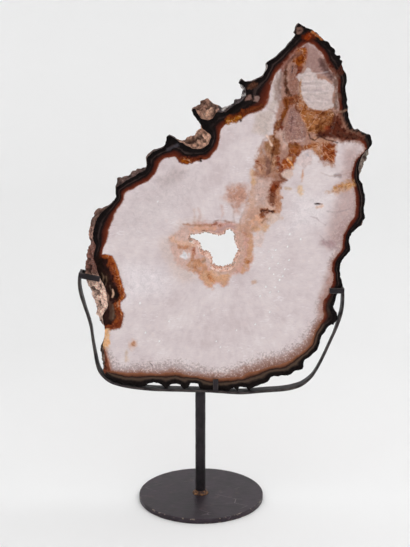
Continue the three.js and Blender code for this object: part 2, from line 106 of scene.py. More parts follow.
def distance(points, line, closed=True):
    """The least distance to a line: the nearest of its even steps, then the two stretches beside it."""
    dense = walked(line, 1.0, closed)
    squares = (dense**2).sum(1)
    parts = []
    for some in np.array_split(points, max(1, len(points) * len(dense) // 4_000_000)):
        nearest = (squares - 2 * some @ dense.T).argmin(1)
        best = np.full(len(some), np.inf)
        for first in (nearest - 1, nearest):
            if not closed:
                first = np.clip(first, 0, len(dense) - 2)
            start = dense[first]
            step = dense[(first + 1) % len(dense)] - start
            share = ((some - start) * step).sum(1) / (step**2).sum(1)
            gap = some - start - np.clip(share, 0, 1)[:, None] * step
            best = np.minimum(best, np.hypot(*gap.T))
        parts.append(best)
    return np.concatenate(parts)


def inside(points, line):
    """True where a ray to the right crosses the closed line an odd number of times."""
    ax, az = line.T
    bx, bz = np.roll(line, -1, axis=0).T
    odd = np.zeros(len(points), bool)
    for x1, z1, x2, z2 in zip(ax, az, bx, bz):
        if z1 != z2:
            spans = (z1 > points[:, 1]) != (z2 > points[:, 1])
            odd ^= spans & (points[:, 0] < (x2 - x1) * (points[:, 1] - z1) / (z2 - z1) + x1)
    return odd


def into(points, line):
    """How far points lie inside a closed line: the distance to it, with a minus sign outside."""
    return distance(points, line) * np.where(inside(points, line), 1, -1)


def fade(value, low, high):
    """0 below low, 1 above high and a smooth step between; low may be the larger one."""
    share = np.clip((value - low) / (high - low), 0, 1)
    return share * share * (3 - 2 * share)


print("noise and line helpers ready")

# %% [markdown]
# ## Meshes and finishes
# Each surface is worked out as whole arrays of points in millimetres and written into a mesh at once.
# A finish is a node material, and its sums are written as Python expressions: a wrapped socket knows
# the operators, so `1 - mask * 0.5` adds the Math nodes by itself.

# %% Put a surface into the scene
def piece(name, points, faces, replaced, finishes, marks=None, face_finish=None, sharp=None):
    """A mesh object from points in millimetres that rides on the body and stands for CAD nodes.

    Its faces are shaded smooth across edges below the angle sharp, in degrees, and flat without one.
    """
    mesh = bpy.data.meshes.new(name)
    mesh.from_pydata((np.asarray(points) * MM).tolist(), [], [list(face) for face in faces])
    for key, values in (marks or {}).items():
        kind, field = ("FLOAT_COLOR", "color") if values.ndim == 2 else ("FLOAT", "value")
        target = mesh.attributes.new(key, kind, "POINT")
        target.data.foreach_set(field, np.ascontiguousarray(values, np.float32).ravel())
    for finish in finishes:
        mesh.materials.append(finish)
    if face_finish is not None:
        mesh.polygons.foreach_set("material_index", np.asarray(face_finish, np.int32))
    mesh.polygons.foreach_set("use_smooth", np.full(len(mesh.polygons), sharp is not None))
    mesh.update()
    if sharp is not None:
        mesh.set_sharp_from_angle(angle=math.radians(sharp))
    made = bpy.data.objects.new(name, mesh)
    bpy.context.scene.collection.objects.link(made)
    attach(made, BODY)
    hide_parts(*replaced)
    print(name, len(mesh.vertices), "points,", len(mesh.polygons), "faces")
    return made


print("pieces ride on", BODY)

# %% Rings, caps and turned shapes
def tube_faces(rings, count, closed_along=False):
    """The quads between neighbouring rings of a grid whose rings are closed."""
    starts = np.arange(rings if closed_along else rings - 1)
    ring, around = np.meshgrid(starts, np.arange(count), indexing="ij")
    after, beside = (ring + 1) % rings, (around + 1) % count
    corners = [ring * count + around, ring * count + beside, after * count + beside, after * count + around]
    return np.stack(corners, axis=-1).reshape(-1, 4)


def end_caps(rings, count):
    """One face over the first ring, turned round so that it points outwards, and one over the last."""
    last = (rings - 1) * count
    return [list(range(count - 1, -1, -1)), list(range(last, last + count))]


def turned(profile, sides):
    """Rows of [radius, height] carried round the upright axis: radius times cosine, radius times sine."""
    angle = np.linspace(0, 2 * math.pi, sides, endpoint=False)
    points = np.stack([profile[:, None, 0] * np.cos(angle), profile[:, None, 0] * np.sin(angle),
                       np.repeat(profile[:, 1:2], sides, axis=1)], axis=-1)
    return points.reshape(-1, 3)


print("a tube of six sides has", len(tube_faces(2, 6)), "side faces and", len(end_caps(2, 6)), "caps")

# %% Sockets that can be summed
class Value:
    """A node's output that takes part in Python sums, where each operator adds one Math node."""

    def __init__(self, finish, socket):
        self.finish, self.socket = finish, socket

    def sum(self, operation, first, second):
        return self.finish.node("ShaderNodeMath", {"operation": operation}, {0: first, 1: second})

    def __add__(self, other):
        return self.sum("ADD", self, other)

    def __sub__(self, other):
        return self.sum("SUBTRACT", self, other)

    def __rsub__(self, other):
        return self.sum("SUBTRACT", other, self)

    def __mul__(self, other):
        return self.sum("MULTIPLY", self, other)

    def __truediv__(self, other):
        return self.sum("DIVIDE", self, other)

    __radd__, __rmul__ = __add__, __mul__

    def least(self, other):
        """The smaller of two numbers; most gives the larger one."""
        return self.sum("MINIMUM", self, other)

    def most(self, other):
        return self.sum("MAXIMUM", self, other)


print("sockets take part in sums")

# %% A node material
class Finish:
    """A node material. node() adds any node: its settings come first, then its sockets' values or links."""

    def __init__(self, name):
        self.material = bpy.data.materials.new(name)
        self.material.use_nodes = True
        self.tree = self.material.node_tree
        self.tree.nodes.clear()
        self.place = self.node("ShaderNodeTexCoord", out="Object")

    def node(self, kind, settings=None, values=None, out=0):
        made = self.tree.nodes.new(kind)
        for key, setting in (settings or {}).items():
            if key == "stops":
                ramp = made.color_ramp.elements
                while len(ramp) < len(setting):
                    ramp.new(0.5)
                for stop, (position, color) in zip(ramp, setting):
                    stop.position, stop.color = position, color
            else:
                setattr(made, key, setting)
        for key, value in (values or {}).items():
            if isinstance(value, Value):
                self.tree.links.new(value.socket, made.inputs[key])
            else:
                made.inputs[key].default_value = value
        return Value(self, made.outputs[out])

    def noise(self, size_mm, detail=3.0, roughness=0.5, place=None, distortion=0.0):
        """Noise whose features are about size_mm across, from 0 to 1."""
        values = {"Vector": place or self.place, "Scale": 1 / (size_mm * MM), "Detail": detail,
                  "Roughness": roughness, "Distortion": distortion}
        return self.node("ShaderNodeTexNoise", None, values)

    def vector(self, operation, first, second=None, scale=None):
        """A Vector Math node, which works on places and directions; LENGTH gives one number."""
        values = {0: first, 1: second, "Scale": scale}
        values = {key: value for key, value in values.items() if value is not None}
        out = "Value" if operation == "LENGTH" else "Vector"
        return self.node("ShaderNodeVectorMath", {"operation": operation}, values, out=out)

    def stretched(self, x, y, z):
        """Object coordinates with each axis multiplied, so that noise on them is drawn out."""
        return self.vector("MULTIPLY", self.place, (x, y, z))

    def step(self, value, low, high):
        """0 where value is below low, 1 above high, smooth between."""
        settings = {"interpolation_type": "SMOOTHSTEP"}
        return self.node("ShaderNodeMapRange", settings, {0: value, 1: low, 2: high})

    def blend(self, share, first, second, way="MIX"):
        """The colour first where share is 0 and second where it is 1, or their product at MULTIPLY."""
        return self.node("ShaderNodeMix", {"data_type": "RGBA", "blend_type": way},
                         {0: share, 6: first, 7: second}, out=2)

    def ramp(self, value, *stops):
        """A colour for a number: each stop is a number and the colour there, as the eye sees it."""
        stops = [(number, look(*colour)) for number, colour in stops]
        return self.node("ShaderNodeValToRGB", {"stops": stops}, {0: value})

    def grey(self, value):
        """The colour whose three parts are all that number."""
        return self.node("ShaderNodeCombineXYZ", None, {0: value, 1: value, 2: value})

    def mark(self, name, out="Fac"):
        """A value or colour that the mesh holds for each point."""
        return self.node("ShaderNodeAttribute", {"attribute_name": name}, out=out)

    def bump(self, height, depth_mm, strength=1.0):
        """A relief for the shading alone, depth_mm deep where height goes from 0 to 1."""
        return self.node("ShaderNodeBump", None, {"Height": height, "Distance": depth_mm * MM,
                                                   "Strength": strength})

    def surface(self, **values):
        """Closes the material with one Principled shader."""
        names = {key.replace("_", " "): value for key, value in values.items()}
        shader = self.node("ShaderNodeBsdfPrincipled", None, names)
        output = self.tree.nodes.new("ShaderNodeOutputMaterial")
        self.tree.links.new(shader.socket, output.inputs["Surface"])
        return self.material


print("finishes ready")

# %% Colours as the eye sees them
STUDIO_LIGHT = 0.86


def look(red, green, blue):
    """The paint for a colour as the eye sees it, 0 to 255, in a studio light of that strength."""
    shown = np.array([red, green, blue]) / 255
    linear = np.where(shown < 0.04045, shown / 12.92, ((shown + 0.055) / 1.055) ** 2.4)
    return (*np.minimum(linear / STUDIO_LIGHT, 0.95).tolist(), 1.0)


print("mid grey is painted", [round(part, 2) for part in look(128, 128, 128)])

# %% [markdown]
# ## Camera, floor and light
# The camera's place, tilt and lens were worked out from the round plate, which shows as an ellipse.
# The floor is one pale surface of revolution that rises far behind the object like a studio sweep, so
# that no horizon shows from any side. The main light is large and comes from the upper right.

# %% Camera
CAMERA_PLACE = (0.0048, -1.279, 0.575)
CAMERA_TILT = math.radians(12.87)
FOCAL_PIXELS = 1114
PICTURE_HEIGHT = 547
SENSOR = 36
CAMERA_REACH = 0.05, 40

camera_data = bpy.data.cameras.new("camera")
camera_data.sensor_width = SENSOR
camera_data.lens = SENSOR * FOCAL_PIXELS / PICTURE_HEIGHT
camera_data.clip_start, camera_data.clip_end = CAMERA_REACH
camera = bpy.data.objects.new("camera", camera_data)
camera.location = CAMERA_PLACE
camera.rotation_euler = (math.pi / 2 - CAMERA_TILT, 0, 0)
bpy.context.scene.collection.objects.link(camera)
bpy.context.scene.camera = camera
bpy.context.scene.view_settings.view_transform = "Standard"
print("lens", round(camera_data.lens, 1), "mm")

# %% Floor that rises into a sweep
FLOOR_FLAT = 2.6
SWEEP_RADIUS = 1.3
SWEEP_TOP = 4.5
SWEEP_SIDES = 96


def studio_sweep():
    """Flat to FLOOR_FLAT, then a quarter circle, then straight up: turned about the upright axis."""
    flat = np.column_stack([np.linspace(0.001, FLOOR_FLAT, 14), np.zeros(14)])
    turn = np.linspace(0, math.pi / 2, 24)[1:]
    bend = np.column_stack([FLOOR_FLAT + SWEEP_RADIUS * np.sin(turn), SWEEP_RADIUS * (1 - np.cos(turn))])
    wall = np.array([[FLOOR_FLAT + SWEEP_RADIUS, SWEEP_TOP]])
    profile = np.vstack([flat, bend, wall])
    faces = tube_faces(len(profile), SWEEP_SIDES).tolist() + end_caps(len(profile), SWEEP_SIDES)[:1]
    mesh = bpy.data.meshes.new("studio_floor")
    mesh.from_pydata(turned(profile, SWEEP_SIDES).tolist(), [], faces)
    mesh.polygons.foreach_set("use_smooth", np.ones(len(mesh.polygons), bool))
    return bpy.data.objects.new("studio_floor", mesh)


# the paper is painted darker and lighter by its distance from the stand, as a share of TONE_REACH metres:
# painted light and shade on the paper
TONE_REACH = 4
paper = Finish("studio_paper")
paper_share = paper.vector("LENGTH", paper.place) / TONE_REACH + (paper.noise(400) - 0.5) * 0.02
paper_painted_light = paper.ramp(paper_share, (0.05, (227, 227, 227)), (0.18, (221, 221, 221)),
                        (0.70, (229, 229, 229)), (1.0, (235, 235, 235)))
floor = studio_sweep()
floor.data.materials.append(paper.surface(Base_Color=paper_painted_light, Roughness=0.9, Specular_IOR_Level=0.1))
bpy.context.scene.collection.objects.link(floor)
print("floor of", len(floor.data.polygons), "faces")

# %% Lights
# place, the place looked at and the side of the square in metres, then the power in watts
LIGHTS = {
    "key_light": ((1.25, 0.35, 1.9), (0.05, 0.0, 0.1), 0.9, 6),
    "front_light": ((0.35, -2.1, 1.5), (0.0, 0.0, 0.3), 1.4, 5),
}
WORLD_LIGHT = 1.05


def soft_light(name, place, target, size, power):
    """A square area light at place that looks at target."""
    data = bpy.data.lights.new(name, "AREA")
    data.size, data.energy = size, power
    light = bpy.data.objects.new(name, data)
    light.location = place
    light.rotation_euler = (Vector(target) - Vector(place)).to_track_quat("-Z", "Y").to_euler()
    bpy.context.scene.collection.objects.link(light)


for name, light in LIGHTS.items():
    soft_light(name, *light)
world = bpy.data.worlds.new("studio")
world.use_nodes = True
world.node_tree.nodes["Background"].inputs["Color"].default_value = (1, 1, 1, 1)
world.node_tree.nodes["Background"].inputs["Strength"].default_value = WORLD_LIGHT
bpy.context.scene.world = world
print(len(LIGHTS), "soft lights and an even sky")

# %% [markdown]
# ## The stone's outline
# The edge of the polished face was traced, in millimetres, clockwise from the peak. Where the
# rough rind slopes out behind the face, two more numbers say how far the back edge lies from there.
# The same list gives the imported model its shape, so both agree. Between the listed points the real
# edge is chipped, which a fine noise adds, inwards only.

# %% Outline of the slice
FRONT, BACK = -6.7, 6.7
OUTLINE = [
    # right shoulder, down to the right corner
    [109.5, 570.5], [114, 568], [120, 565], [125, 563.5], [129, 560, 1, 1], [134, 555, 1, 1],
    [138, 551.7], [143, 550], [146, 545], [150, 542.5], [151, 540], [150.5, 536.8], [153, 534.8],
    [156, 535.5], [157.5, 533], [156.5, 530.8], [159, 529], [158.5, 525.5], [160.5, 520],
    [163.5, 515], [165.2, 511.5], [165, 506], [164, 501], [164.5, 491], [166, 486], [165.5, 482],
    [167, 479], [166.5, 474], [168, 471], [168, 466], [170, 460.5], [173, 455], [176, 451.7],
    [180.5, 452], [182, 450], [187, 448.5], [190, 447], [193, 446.4], [194.5, 442.5],
    [196.3, 439], [195, 434], [192.3, 430],
    # notch with a strip of rind, then the scalloped right side
    [188, 427.5, 6.3, -1.5], [184.5, 421, 8.5, -2], [182.3, 416, 7.5, -2.5], [181.2, 410, 7, -2.5],
    [181.3, 405, 5.5, -2.5], [181.8, 401, 2, -1], [182, 399], [183.5, 393], [186, 390.5],
    [187.5, 383], [189.5, 377], [189.8, 370], [188.5, 363], [189.5, 355], [190.3, 350],
    [187.5, 345.5, 2, 0], [186, 341.2, 2, -0.5], [182, 338.6], [179, 336], [176, 332.5],
    [173.5, 327.5], [172.5, 322], [174, 316], [174.3, 311.5], [171.5, 308], [167.5, 303],
    [164.5, 298], [163, 292.5], [163.2, 286], [164, 279], [165.6, 273], [166.8, 270],
    [166.7, 268.4], [164.5, 267], [163.3, 262], [160.8, 259.3], [160, 256.5], [158.5, 252],
    [157, 246.5], [156, 242.7], [158.8, 238.5], [160.8, 234.8], [162.2, 231.5], [162.1, 229],
    [160.4, 226.4], [158, 224], [157, 221.3], [154.6, 222.4], [151.5, 220], [149, 217],
    [147, 213], [144, 208.5], [142, 204.5], [141.5, 199], [140.5, 195], [139.5, 191.5],
    # lower right curve
    [134.5, 187], [130.5, 182.6], [128, 180.6], [124.3, 178.6], [122.6, 175], [123, 170],
    [121, 167], [117, 165.6], [112.5, 164.6], [110, 163], [107, 160], [104, 158.6], [98, 159.2],
    [92.5, 157.6], [87, 158], [83.5, 156.6], [82, 153.5], [80, 150.7], [77, 149.6], [73, 147.7],
    [68, 146], [64.5, 144.8], [61.5, 143.5],
    # underside, with the teeth that stand on the bar
    [58, 139.7], [55, 143.6], [50, 144.2], [46, 144], [43.5, 138.9], [40, 143.2], [37, 142.6],
    [33, 139.5], [27, 140.2], [20, 140.7], [12, 141.2], [4, 141.6], [-2, 143], [-4, 148.3],
    [-8, 149.6], [-12, 149.1], [-15, 143.5], [-19, 141.9], [-22, 142.4], [-25, 147.5],
    [-30, 148.7], [-36, 148.1], [-39.5, 144], [-43, 142.5], [-46, 146.4], [-50, 148.9],
    [-57, 149.8], [-63, 149.1], [-67, 146], [-72, 144.7], [-80, 145.7], [-88, 147.1],
    [-96, 149], [-104, 151.8], [-111, 156], [-115, 160.6], [-117.2, 166],
    # lower left edge
    [-115.5, 171, -4, -1], [-114.5, 177, -5.5, -2], [-115, 184, -5.5, -3], [-115.8, 190, -5.5, -3],
    [-117, 196, -4.5, -3], [-116, 201, -1, -2], [-114.5, 206], [-114, 213], [-114.2, 219, -1, 0],
    # broad sloping rind of the left side
    [-115.6, 224, -4.5, -2], [-116.5, 229, -6, -2], [-116.5, 233, -8.5, -1.5], [-114.5, 238, -12, -2],
    [-111.5, 241, -14, -2], [-110.3, 247, -16.5, -3], [-110.5, 253, -17, -3],
    [-111, 259, -18.5, -3], [-112, 265, -21, -3], [-114.5, 271, -21, -3], [-117.5, 277, -19, -3],
    [-120, 283, -17, -3], [-121.8, 289, -16, -3], [-123.5, 296, -13, -3], [-125.5, 302, -10, -3],
    [-125, 308, -10, -3], [-123.5, 313, -11, -3], [-122.6, 318, -9, -3], [-124, 321.5, -6, -3],
    [-126, 326, -5.5, -2], [-125.8, 331, -6, -2], [-124.6, 338, -6, -2], [-122.5, 345, -6.5, -2],
    [-120, 351, -7.5, -1], [-116.5, 355.5, -7.5, 1], [-112.5, 359.5, -6, 0.5], [-108, 362.8],
    [-104.5, 366], [-101, 370], [-98.5, 373], [-98.3, 377.5], [-98.3, 382, -0.5, 0],
    # rind steps of the upper left side
    [-97.5, 386, -2.4, 0], [-94.5, 388, -4, 2.5], [-91, 390, -6, 5.5], [-88, 393, -4, 3.5],
    [-84, 395.5, -3.5, 2.2], [-79, 397.5, -3.5, 2.8], [-75, 400, -2.5, 5], [-71, 403.5, -3, 2.6],
    [-67, 404.8, -2, 2.2], [-64, 406.3, -1, 2], [-62.5, 410, -1, -1], [-62.3, 414, -1.5, -1],
    [-62, 419, -2, -0.5], [-60, 422.5, -2, 0], [-57, 425.5, -1.5, 0],
    [-53.5, 427.8, -1, 0.5], [-50, 429.3], [-45, 431.3], [-42, 432.8], [-40, 437],
    [-39, 441], [-39.4, 443.4], [-37, 445.7], [-35, 445.5], [-32, 443.8], [-29.5, 442.5],
    [-27, 440.5, 0, 0.3], [-24, 438.7, 0, 0.8],
    # deep notch filled with brown matrix
    [-20, 437, -2, 3.3], [-15, 434, -2.5, 7.8], [-10, 431.7, -3, 11.5], [-4, 430.2, -5, 15.6],
    [2, 431, -8, 17.3], [6, 434, -10, 15.9], [9.7, 438.5, -12.2, 12.4], [11.3, 443.5, -12.6, 8.4],
    [10.5, 447, -11.1, 5.8], [7, 449.2, -7.2, 4.5], [3.5, 451.5, -3.5, 3], [1, 454, -1, 1.3],
    [0, 457], [-2, 460.5], [-5.5, 465], [-9, 469.3], [-10.8, 473],
    # brown knob and the grey rind beside it
    [-9.8, 476, -0.3, -0.6], [-6.5, 476.5, -0.5, 1], [-4, 473, -1, 5.6], [-2, 468.5, -0.5, 11.2],
    [1, 465, -2.5, 16.2], [5, 463.4, -6, 20.2], [9, 463.6, -7.5, 22.2], [13, 465, -8, 22.2],
    [15.2, 468.5, -7, 18.6], [16.5, 471.5, -5, 13], [18.5, 472.3, -4, 9.6],
    [21.5, 472.2, -1.5, 8.7], [25, 472, 0, 5.3], [29, 472.6, 1, 4.6], [32.5, 475.5, 1, 4.1],
    [36, 478.5, 1, 3.3], [39, 480.5, -1, 5], [43, 482.8, 0.5, 4.2], [47.5, 485.8, -1, 3.7],
    [50.3, 489.5, -4, 2], [51.3, 493.5, -4.5, 1], [50.3, 498, -4.8, 1], [47.5, 501.5, -3.5, 1.5],
    # small horn, then the long left shoulder up to the peak
    [44, 502.8, -1, 0.8], [42.2, 504.3], [44.5, 508], [46, 509], [50, 506.6], [56, 506.5],
    [62, 508.5], [70, 512.5], [71.5, 516], [73.5, 518.5, -1, 0], [74.8, 521.5, -1.5, 0],
    [74.6, 524, -1.5, 0.3], [73, 526], [76, 529], [80, 531], [85, 534.2], [90, 539], [95, 544],
    [100, 550], [104, 555], [106, 558], [104.3, 560.3], [105.5, 562.5], [106, 566], [108, 569.5],
]

# The stone's edge of the through hole, clockwise.
HOLE_LINE = np.array([
    [-15.5, 327], [-13.5, 332], [-6, 332.8], [0, 334], [4.5, 335.3], [10, 334.5], [16, 333],
    [21, 331.9], [25.3, 332.3], [27, 336], [30, 338.4], [34.5, 339], [38.5, 336], [41.3, 331.5],
    [42.3, 325.5], [42.6, 320.5], [44.6, 316.6], [47.2, 311.5], [45.4, 306.5], [43, 302.5],
    [41.6, 298], [39.6, 292.5], [34.5, 288.2], [28, 286.6], [21.5, 286.5], [15.5, 288],
    [10.8, 290.8], [11, 297], [9.6, 301.5], [6.6, 304.6], [1.8, 306.2], [-1.8, 309], [-2.6, 314],
    [-4.5, 318], [-9, 320], [-13.8, 321.4],
])

# The line where the dark bands of the edge give way to pale quartz, clockwise from the left.
FIELD_LINE = np.array([
    [-116, 307], [-114, 314], [-111, 322], [-109, 330], [-107, 337], [-105, 343], [-102, 350],
    [-99, 357], [-96, 362], [-92, 367], [-89, 372], [-89, 378], [-86, 381], [-80, 384], [-74, 387],
    [-68, 390], [-63, 393], [-60, 394], [-57, 398], [-53, 402], [-51, 407], [-49, 413], [-46, 417],
    [-42, 419.5], [-36, 421.5], [-30, 421.5], [-27, 419], [-24, 416], [-20, 414], [-16, 413],
    [-11, 415], [-6, 416.5], [0, 418], [6, 419], [10, 421], [14, 426], [18, 431], [20, 437],
    [21, 444], [22, 450], [23, 454], [27, 458], [32, 460], [38, 461], [44, 463], [48, 466],
    [53, 470], [60, 472], [66, 474], [71, 477], [75, 482], [76.5, 489], [77, 496], [78, 502],
    [81, 508], [84, 514], [87, 519], [92, 524], [97, 529], [102, 535], [107, 540], [112, 544],
    [116, 547], [121, 549], [126, 547], [131, 543], [135, 539], [138, 534], [140, 528], [143, 522],
    [149, 516], [153, 512], [154.5, 505], [154.5, 495], [156, 485], [157, 478], [156, 470],
    [155, 464], [152, 455], [150, 448], [156, 443], [165, 441], [175, 441], [182, 440], [186, 436],
    [190, 430], [184, 424], [179, 420], [176, 414], [174, 406], [173, 400], [174, 394], [176, 388],
    [178, 382], [179.5, 375], [180, 365], [179.5, 357], [178.5, 351], [174, 346], [171, 341],
    [168, 335], [166, 329], [165, 322], [165.5, 315], [162, 310], [158, 305], [154.5, 300],
    [153, 295], [154, 289], [155, 282], [155.5, 276], [154, 270], [151, 264], [150, 259],
    [146, 253], [143.5, 248], [143.5, 241], [145, 235], [144.5, 229], [140, 223], [137, 217],
    [134, 210], [132, 203], [128, 196], [123, 190], [116, 185], [110, 181], [103, 176], [95, 172.5],
    [86, 171], [78, 169], [68, 165], [58, 163], [50, 158], [40, 156], [20, 155], [0, 157],
    [-20, 160], [-30, 163.5], [-50, 161], [-70, 162], [-90, 162], [-108, 165], [-112, 178],
    [-114, 190], [-115.5, 200], [-113.5, 210], [-110, 216.5], [-101, 217.5], [-96, 219],
    [-94, 224], [-92.5, 230], [-92, 236], [-94, 239], [-96, 244], [-95, 250], [-91, 254],
    [-88.5, 257], [-90, 262], [-92, 268], [-94, 275], [-95, 281], [-97, 288], [-99, 294],
    [-101, 300], [-105, 305], [-112, 307],
])

# nicks go this deep, and deeper behind the face where the rind slopes out, in mm
NICK, RIND_NICK = 0.8, 1.4
EDGE_STEP = 1.2
edge = walked(np.array([(*row, 0, 0)[:4] for row in OUTLINE], float), EDGE_STEP)


def nicked(loop, nick, seed):
    """The loop moved inwards by a fine noise, from nothing to nick."""
    bite = nick * np.clip(0.35 + 0.65 * rough_noise(loop, 4.0, seed, 3), 0, 1)
    return loop - outward(loop) * bite[:, None]


slope_out = np.linalg.norm(edge[:, 2:], axis=1)
front_edge = nicked(edge[:, :2], NICK, 11)
back_edge = nicked(edge[:, :2] + edge[:, 2:], NICK + RIND_NICK * np.clip(slope_out / 5, 0, 1), 12)
hole_edge = walked(HOLE_LINE, EDGE_STEP)
print("edge of", len(edge), "points, hole of", len(hole_edge))

# %% [markdown]
# ## Hollows and stains
# The polished face isn't one colour. Iron in the water that grew the stone left brown and amber
# stains along cracks and round the hole, and a druse-lined hollow opens near the top. Each is a
# drawn area, stroke or spot, soft at its edge and ruffled by noise.

# %% Hollows in the face: outline, depth, roughness of the floor
HOLLOWS = [
    ([[101.5, 476], [107, 476.5], [110.5, 472], [113, 466], [116.5, 460], [119.5, 453],
      [120.5, 446], [119, 440], [113, 437.5], [107, 437], [101, 436.5], [95.5, 438.5],
      [92.5, 442.5], [93.5, 448], [95.5, 453.5], [97, 459.5], [99, 465.5], [100, 471]], 1.9, 0.75),
    ([[103, 526.5], [106.5, 523.5], [108, 517.5], [108.5, 511], [110, 505], [111, 498.5],
      [109.5, 492.5], [105.5, 490], [102, 493.5], [100.8, 500], [100, 507], [99, 514],
      [99.5, 521.5]], 1.2, 0.35),
    ([[103, 523.5], [104.3, 520], [103.5, 516], [102.3, 515.4], [101.7, 519]], 2.2, 0.4),
    ([[69, 359.5], [74, 360.4], [80, 359.6], [86, 356.4], [80, 357], [76, 355],
      [73.5, 351.6], [69.8, 353]], 2.6, 0.6),
    ([[131.8, 366.6], [134, 367.9], [137.6, 367.6], [140.2, 366.4], [136.5, 365.4],
      [133.2, 365.3]], 2.8, 0.4),
    ([[64.4, 377.4], [66, 378.6], [68, 377.8], [67.2, 376], [65, 375.8]], 1.8, 0.3),
]
HOLLOWS = [(np.array(line, float), depth, rough) for line, depth, rough in HOLLOWS]
print(len(HOLLOWS), "hollows")

# %% Stains round the hole: colour, softness, strength, width of the stroke (0 for an area), points
AREA = 0
HOLE_STAINS = [
    ((191, 138, 122), 2.5, 0.85, AREA, [(-37, 325), (-30, 330), (-25, 337), (-20, 342), (-10, 344),
     (10, 345), (25, 346), (40, 345), (55, 340), (60, 330), (61, 320), (60, 310), (62, 302), (58, 292),
     (54, 286), (45, 284), (38, 283), (33, 278), (30, 271), (27, 268), (20, 272), (12, 266), (5, 270),
     (-1, 277), (-4, 283), (-10, 286), (-20, 290), (-28, 296), (-35, 312)]),
    ((199, 176, 166), 6, 0.5, AREA, [(-48, 322), (-36, 330), (-24, 345), (0, 350), (-4, 300), (-6, 276),
     (-20, 272), (-30, 280), (-40, 296), (-47, 310)]),
    ((189, 156, 141), 2.5, 0.75, 8, [(42, 340), (45, 332), (46, 324), (48, 312), (46, 303), (42, 294),
     (35, 287), (22, 285), (12, 288)]),
    ((200, 171, 162), 2, 0.75, 7, [(9, 293), (8, 302), (0, 305), (-4, 311), (-6, 318)]),
    ((172, 144, 143), 2, 0.6, 5, [(2, 336), (12, 336), (22, 334), (27, 338), (34, 341), (40, 338)]),
    ((190, 145, 113), 2, 0.8, 6, [(55, 336), (58, 326), (58, 314), (57, 304), (54, 295), (49, 288)]),
    ((201, 156, 123), 2.2, 0.85, AREA, [(-2, 284), (4, 288), (14, 287), (22, 284), (31, 284), (36, 283),
     (31, 276), (27, 269), (22, 273), (17, 275), (12, 267), (6, 271), (0, 277)]),
    ((184, 117, 68), 2, 0.7, 6, [(11, 281), (13, 278)]),
    ((207, 166, 142), 2, 0.8, 6, [(-32, 325), (-24, 321), (-15, 319), (-7, 319)]),
    ((175, 118, 82), 1.5, 0.75, 3.5, [(-26, 316), (-16, 315), (-9, 314), (-8, 308), (-10, 302)]),
    ((163, 92, 67), 1.5, 0.7, 5, [(-9, 313), (-8, 311)]),
    ((182, 129, 91), 1.5, 0.8, AREA, [(-16, 294), (-10, 299), (-3, 302), (5, 302), (2, 297), (-4, 292),
     (-10, 290)]),
    ((187, 136, 104), 2, 0.8, AREA, [(-14, 291), (-4, 294), (4, 297), (9, 293), (8, 287), (0, 284),
     (-8, 284)]),
    ((201, 153, 128), 1.5, 0.8, 6, [(-9, 337), (0, 338), (8, 338), (16, 338)]),
    ((159, 114, 88), 1, 0.75, 1.8, [(-21, 343), (-12, 342), (-4, 341.5), (6, 342), (16, 343)]),
    ((134, 73, 49), 1.2, 0.8, 3.4, [(12, 342), (18, 343), (23, 341)]),
    ((144, 100, 80), 1, 0.7, 1.6, [(14, 345), (20, 348), (26, 347), (32, 345.5), (39, 345)]),
    ((154, 124, 114), 1.4, 0.45, 1.6, [(39, 345), (37.5, 352), (38.5, 360), (36, 366)]),
    ((139, 102, 90), 1.2, 0.5, 1.8, [(47, 334), (45.5, 342), (46.5, 350), (48, 356)]),
    ((180, 142, 120), 1.6, 0.4, 2, [(-9, 345), (-7, 352), (-8, 360)]),
    ((182, 141, 129), 1.6, 0.4, 2, [(-3, 345), (-1, 354), (-3, 362)]),
    ((182, 132, 116), 1.6, 0.4, 2.4, [(23, 348), (26, 356), (24, 364)]),
    ((96, 61, 45), 0.7, 0.95, 2.2, [(2.5, 334.6), (7, 334)]),
    ((122, 84, 71), 0.8, 0.8, 1.4, [(1, 333), (-6, 331.4)]),
    ((99, 67, 63), 0.8, 0.9, 2.6, [(37, 333.5), (38.5, 333)]),
    ((122, 90, 81), 0.8, 0.8, 2.2, [(29.5, 335.5), (31, 335)]),
    ((179, 111, 81), 1, 0.8, 2.4, [(46.5, 337.5), (49, 333.5), (52, 332)]),
    ((176, 115, 71), 1, 0.9, 5, [(53.5, 299), (55, 298)]),
    ((118, 89, 64), 0.8, 0.7, 1.6, [(2, 298), (5, 300.5)]),
    ((218, 215, 218), 1.5, 0.9, AREA, [(-26, 303), (-25, 308), (-20, 310.5), (-14, 309), (-13, 304),
     (-18, 301)]),
    ((188, 151, 128), 1.2, 0.8, 3.6, [(61, 273.5), (63, 274)]),
    ((208, 182, 173), 1.5, 0.7, AREA, [(61, 326), (64, 333), (71, 332), (73, 325), (70, 316), (64, 316)]),
]
print(len(HOLE_STAINS), "stains round the hole")

